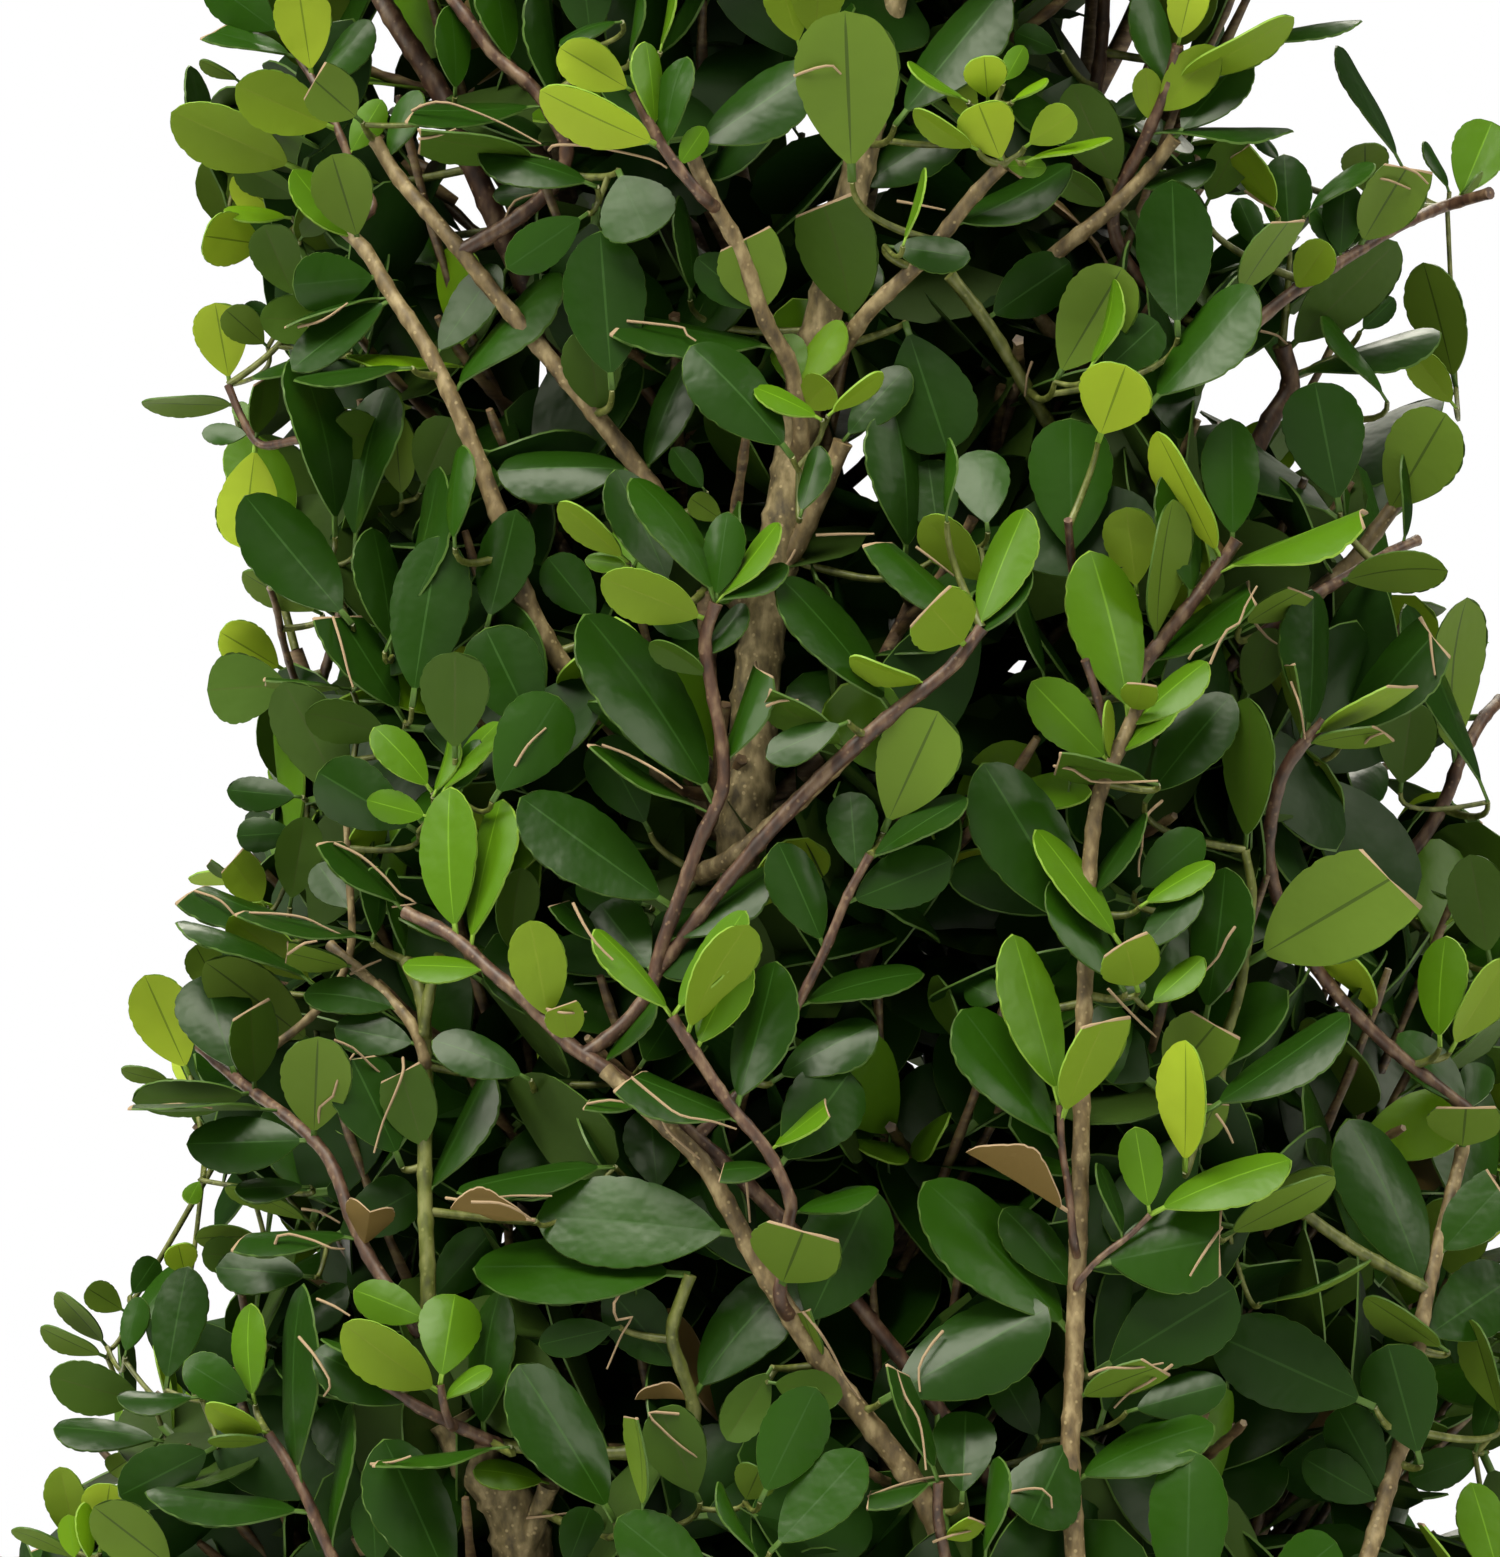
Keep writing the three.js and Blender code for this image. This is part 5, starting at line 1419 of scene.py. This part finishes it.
def shoot_leaves(line, dice):
    """Leaves of one shoot, from its tip back. They share a tone, and the young ones theirs."""
    rows = []
    points = [point for point, _ in line]
    lengths = [(b - a).length for a, b in zip(points, points[1:])]
    turn = dice.uniform(0, 360)
    old_tone = dice.random() < pale_sprays
    young = dice.random() < young_sprays
    young_tone = dice.random() < yellow_sprays
    back = first_leaf
    while back < min(leafy_length, 0.92 * sum(lengths)):
        left = back
        i = len(lengths) - 1
        while left > lengths[i] and i > 0:
            left -= lengths[i]
            i -= 1
        spot = points[i + 1].lerp(points[i], min(left / lengths[i], 1))
        ahead = (points[i + 1] - points[i]).normalized()
        turn += golden_turn + dice.uniform(-14, 14)
        is_young = young and back < young_length
        upright = tip_upright * clamp(1 - back / upright_length)
        lean = math.radians(full_lean - upright + dice.uniform(-9, 9))
        size = (dice.uniform(14, 21) if is_young else dice.uniform(20, 30)) * mm
        size *= 0.62 + 0.38 * clamp(crown_at(spot.z) / slim_crown)
        row = grown_leaf(spot, ahead, turn, lean * (0.8 if is_young else 1), size, dice)
        if row:
            beyond = beyond_crown(row["tip"])
            if beyond > cut_from:
                row["form"] = "cut_long" if beyond < short_cut_from else "cut_short"
            over = beyond_crown(row["root"].lerp(row["tip"], kept_shares.get(row["form"], 1)))
            if over < most_beyond and has_room(row["middle"], leaf_room):
                # Leaves deep inside keep the darker tone: partly the green of shade leaves, partly painted
                # shade.
                deep_inside = beyond_crown(row["middle"]) < dark_inside
                row["tone"] = float(young_tone if is_young else old_tone and not deep_inside)
                row["kind"] = "young" if is_young else ("dry" if dice.random() < dry_share else "mature")
                rows.append(row)
        back += leaf_gap * dice.uniform(0.8, 1.25) * (young_leaf_gap if is_young else 1)
    return rows


grown = {name: [] for name in courses}
fresh = [row for row in front_rows if row["kind"] == "young"]
dead = [row for row in front_rows if row["kind"] == "dry"]
for row in front_rows:
    has_room(row["root"] + row["along"] * (middle_share * row["length"]), 0)
for shoot in shoots:
    for row in shoot_leaves(shoot["line"], random.Random(shoot["seed"])):
        {"young": fresh, "dry": dead, "mature": grown[shoot["course"]]}[row["kind"]].append(row)

# Older leaves on the branchlets fill the shaded inside, in darker skins that are partly painted shade.
inner_gap = 4.5 * mm
inner_room = 6 * mm
plain_inside = -28 * mm
inner = []
for line in itertools.chain(twigs, side_twigs, *stem_lines.values()):
    dice = random.Random(len(inner))
    turn = 0
    for (point, _), (after, _) in zip(line[2:], line[3:]):
        for _ in range(max(1, round((after - point).length / inner_gap))):
            turn += golden_turn
            spot = point.lerp(after, dice.random())
            size = dice.uniform(22, 30) * mm
            lean = math.radians(dice.uniform(48, 70))
            row = grown_leaf(spot, (after - point).normalized(), turn, lean, size, dice)
            if row and beyond_crown(row["tip"]) < 0 and has_room(row["middle"], inner_room):
                if beyond_crown(row["middle"]) < plain_inside:
                    row["form"] = "plain"
                row["tone"] = 0.0
                inner.append(row)

for name, rows in grown.items():
    piece = leaves.run(leaves_mesh(rows), f"leaves_{name}", **mature)
    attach(piece, "root")
    masses = courses[name]["masses"]
    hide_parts(*[f"mass_{name}_{i + 1}" if masses > 1 else f"mass_{name}" for i in range(masses)])
for name, rows, skins, slot in (
    ("front_leaves", [row for row in front_rows if row["kind"] == "mature"], mature, "leaf"),
    ("inner_leaves", inner, shaded, "leaf"),
    ("young_leaves", fresh, newest, "young_leaf"),
    ("dry_leaves", dead, withered, "dry_leaf"),
):
    piece = leaves.run(leaves_mesh(rows), name, **skins)
    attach(piece, "root")
for made in list(leaf_forms.objects):
    bpy.data.objects.remove(made)

# Dried strips
# The shears have slit many leaves lengthwise. What was left of them has dried to thin, curled, tan strips
# that cling to the edges of the front leaves. Each is read from the photograph, in pixels.
strip_radius = 0.24 * mm
strip_rise = 0.7 * mm  # between its ends, off the leaf
strip_spread = 3 * mm  # the most by which its depth may stray
strip_step = 1.4 * mm
strip_reads = [
    [(412, 111), (427, 104), (449, 103), (497, 121), (541, 144)],
    [(419, 139), (437, 136), (456, 129)],
    [(549, 150), (557, 145), (595, 147), (650, 159), (667, 168)],
    [(506, 217), (515, 201), (542, 192)],
    [(298, 327), (323, 320), (348, 303)],
    [(794, 76), (816, 68), (833, 66), (841, 74)],
    [(627, 321), (656, 324), (684, 328), (687, 335), (696, 341)],
    [(897, 201), (920, 205), (945, 210)],
    [(1032, 362), (1027, 376), (1025, 396)],
    [(1245, 191), (1259, 201), (1276, 210)],
    [(1368, 177), (1388, 180), (1410, 189)],
    [(1403, 167), (1417, 173), (1428, 184)],
    [(1260, 331), (1276, 335), (1287, 344)],
    [(515, 766), (528, 745), (546, 728)],
    [(333, 617), (341, 643), (348, 671), (353, 687)],
    [(602, 745), (629, 755), (663, 774), (682, 788)],
    [(816, 535), (844, 534), (874, 534)],
    [(801, 539), (787, 564), (768, 581), (756, 593)],
    [(916, 547), (931, 558), (954, 576)],
    [(767, 706), (780, 701), (798, 700)],
    [(1210, 664), (1220, 641), (1227, 630), (1239, 623), (1245, 607), (1257, 586)],
    [(1189, 659), (1194, 651), (1202, 645)],
    [(1291, 682), (1300, 707), (1305, 739)],
    [(1430, 634), (1432, 654), (1435, 675)],
    [(1054, 766), (1074, 770), (1091, 781), (1124, 782), (1158, 781)],
    [(1364, 744), (1371, 737), (1383, 733)],
    [(1255, 623), (1267, 637), (1277, 644)],
    [(334, 843), (361, 856), (386, 878), (400, 894), (416, 903), (392, 907)],
    [(249, 913), (280, 914), (305, 918), (322, 926), (350, 939)],
    [(195, 891), (221, 901), (243, 926)],
    [(288, 954), (305, 943), (317, 941)],
    [(334, 1040), (353, 1048), (369, 1063), (386, 1078)],
    [(403, 1058), (403, 1072), (395, 1094), (383, 1122), (374, 1153)],
    [(134, 1109), (179, 1104), (212, 1108)],
    [(351, 974), (364, 967), (381, 960)],
    [(319, 1125), (320, 1107), (333, 1096), (339, 1075), (354, 1054)],
    [(573, 903), (583, 923), (596, 943), (613, 960)],
    [(547, 1009), (565, 1013), (586, 1012)],
    [(658, 1107), (666, 1128), (683, 1145), (700, 1159)],
    [(631, 1077), (655, 1097), (680, 1115), (711, 1121), (736, 1129)],
    [(587, 1104), (610, 1100), (632, 1104)],
    [(1162, 801), (1148, 814), (1143, 828), (1142, 847), (1139, 861), (1139, 877)],
    [(1235, 927), (1226, 940), (1218, 957), (1202, 974)],
    [(1108, 989), (1125, 1007), (1142, 1024), (1156, 1037)],
    [(1216, 1114), (1226, 1128), (1233, 1143)],
    [(275, 1244), (278, 1236), (289, 1234), (315, 1241), (331, 1248), (344, 1249)],
    [(302, 1209), (320, 1212), (340, 1223)],
    [(299, 1337), (315, 1356), (329, 1379), (330, 1387), (324, 1396)],
    [(371, 1464), (393, 1462), (411, 1456)],
    [(317, 1299), (334, 1306), (350, 1316)],
    [(446, 1198), (474, 1201), (510, 1196), (552, 1196)],
    [(471, 1202), (499, 1203), (519, 1211), (531, 1219)],
    [(620, 1293), (614, 1303), (617, 1320), (632, 1317), (622, 1334), (607, 1369)],
    [(679, 1414), (649, 1413), (662, 1429), (681, 1446), (700, 1459)],
    [(527, 1518), (549, 1516), (575, 1512)],
    [(746, 1177), (748, 1199), (750, 1222)],
    [(803, 1312), (819, 1331), (833, 1354), (844, 1376), (860, 1399)],
    [(1222, 1227), (1208, 1247), (1197, 1264), (1190, 1276)],
    [(943, 1331), (929, 1348), (919, 1368), (920, 1392)],
    [(896, 1370), (905, 1396), (918, 1418), (923, 1441), (926, 1470)],
    [(868, 1497), (896, 1486), (927, 1478), (971, 1474)],
    [(1089, 1375), (1107, 1368), (1135, 1368), (1163, 1363)],
    [(1172, 1365), (1149, 1382), (1129, 1393), (1114, 1408)],
    [(1007, 1493), (1026, 1489), (1042, 1489), (1051, 1497), (1052, 1508)],
    [(933, 1542), (953, 1535), (975, 1530)],
]
strips = []
for spots in strip_reads:
    depths = [nearest_front.get(cell_at(px, py, front_cell)) for px, py in spots]
    known = sorted(depth for depth in depths if depth is not None) or [face_depth(*spots[0]) + bare_depth]
    middle = known[len(known) // 2]
    depths = [middle if depth is None else depth for depth in depths]
    depths = [min(max(depth, middle - strip_spread), middle + strip_spread) for depth in depths]
    points = []
    for i, ((px, py), depth) in enumerate(zip(spots, depths)):
        share = i / (len(spots) - 1)
        even = depths[0] + (depths[-1] - depths[0]) * share
        rise = clear_margin + strip_radius + strip_rise * math.sin(math.pi * share)
        points.append(on_sight(px, py, min(depth, even) - rise))
    strips.append(smoothed(tapered(points, strip_radius, 0.65 * strip_radius), strip_step))
piece = limbs.run(lines_mesh(strips), "dried_strips", Sides=6, Bark=dry_skin)
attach(piece, "root")

# Floor
# A plain pale disc at ground level, too small to show behind the plant in the photograph's close view.
floor_radius = 0.95
bpy.ops.mesh.primitive_circle_add(vertices=96, radius=floor_radius, fill_type="NGON", location=(0, 0.1, 0))
floor = bpy.context.object
floor.name = "floor"
pale, _, shader = new_material("pale_floor")
shader.inputs["Base Color"].default_value = (0.8, 0.8, 0.8, 1)
shader.inputs["Roughness"].default_value = 0.8
floor.data.materials.append(pale)

# Light and camera
# Soft studio light on a white background: a broad main light high in front, a faint one low in front, weaker
# ones on the left and the right, and one behind. Only the background itself looks white: the plant gets much
# less light from it. The camera stands level before the crown's side and takes in 214 by 222 mm of it.
scene = bpy.context.scene
scene.view_settings.view_transform = "Standard"
world = bpy.data.worlds.new("white")
scene.world = world
world.use_nodes = True
sky = Tree(world.node_tree)
ray = sky.node("ShaderNodeLightPath")
backdrop = world.node_tree.nodes["Background"]
backdrop.inputs["Color"].default_value = (1, 1, 1, 1)
world_light = 0.19  # that the plant gets, by what the camera sees
strength = ray.output("Is Camera Ray") * (1 - world_light) + world_light
strength = strength - ray.output("Is Glossy Ray") * 0.16
strength.feed(backdrop.inputs["Strength"])


def soft_light(name, place, size, power, target):
    lamp = bpy.data.lights.new(name, "AREA")
    lamp.shape = "RECTANGLE"
    lamp.size, lamp.size_y = size
    lamp.energy = power
    lamp.color = (1, 0.97, 0.84)
    made = bpy.data.objects.new(name, lamp)
    scene.collection.objects.link(made)
    made.location = place
    made.rotation_euler = (Vector(target) - Vector(place)).to_track_quat("-Z", "Y").to_euler()


soft_light("main_light", (-0.35, -0.85, 1.65), (1.1, 0.9), 55, view_middle)
soft_light("front_light", (0.2, -1.8, 0.5), (1.2, 1.2), 3, view_middle)
soft_light("left_light", (-1.3, -0.4, 1.1), (0.7, 0.9), 20, view_middle)
soft_light("right_light", (1.3, -0.4, 1.1), (0.7, 0.9), 13, view_middle)
soft_light("back_light", (0.2, 1.3, 1.5), (1.4, 0.9), 34, view_middle)

lens = bpy.data.cameras.new("camera")
lens.sensor_fit = "AUTO"
lens.sensor_width = 36
view_height = view_width * photo_height / photo_width
lens.lens = lens.sensor_width * camera_distance / view_height
camera = bpy.data.objects.new("camera", lens)
scene.collection.objects.link(camera)
camera.location = eye
camera.rotation_euler = (math.radians(90), 0, 0)
scene.camera = camera
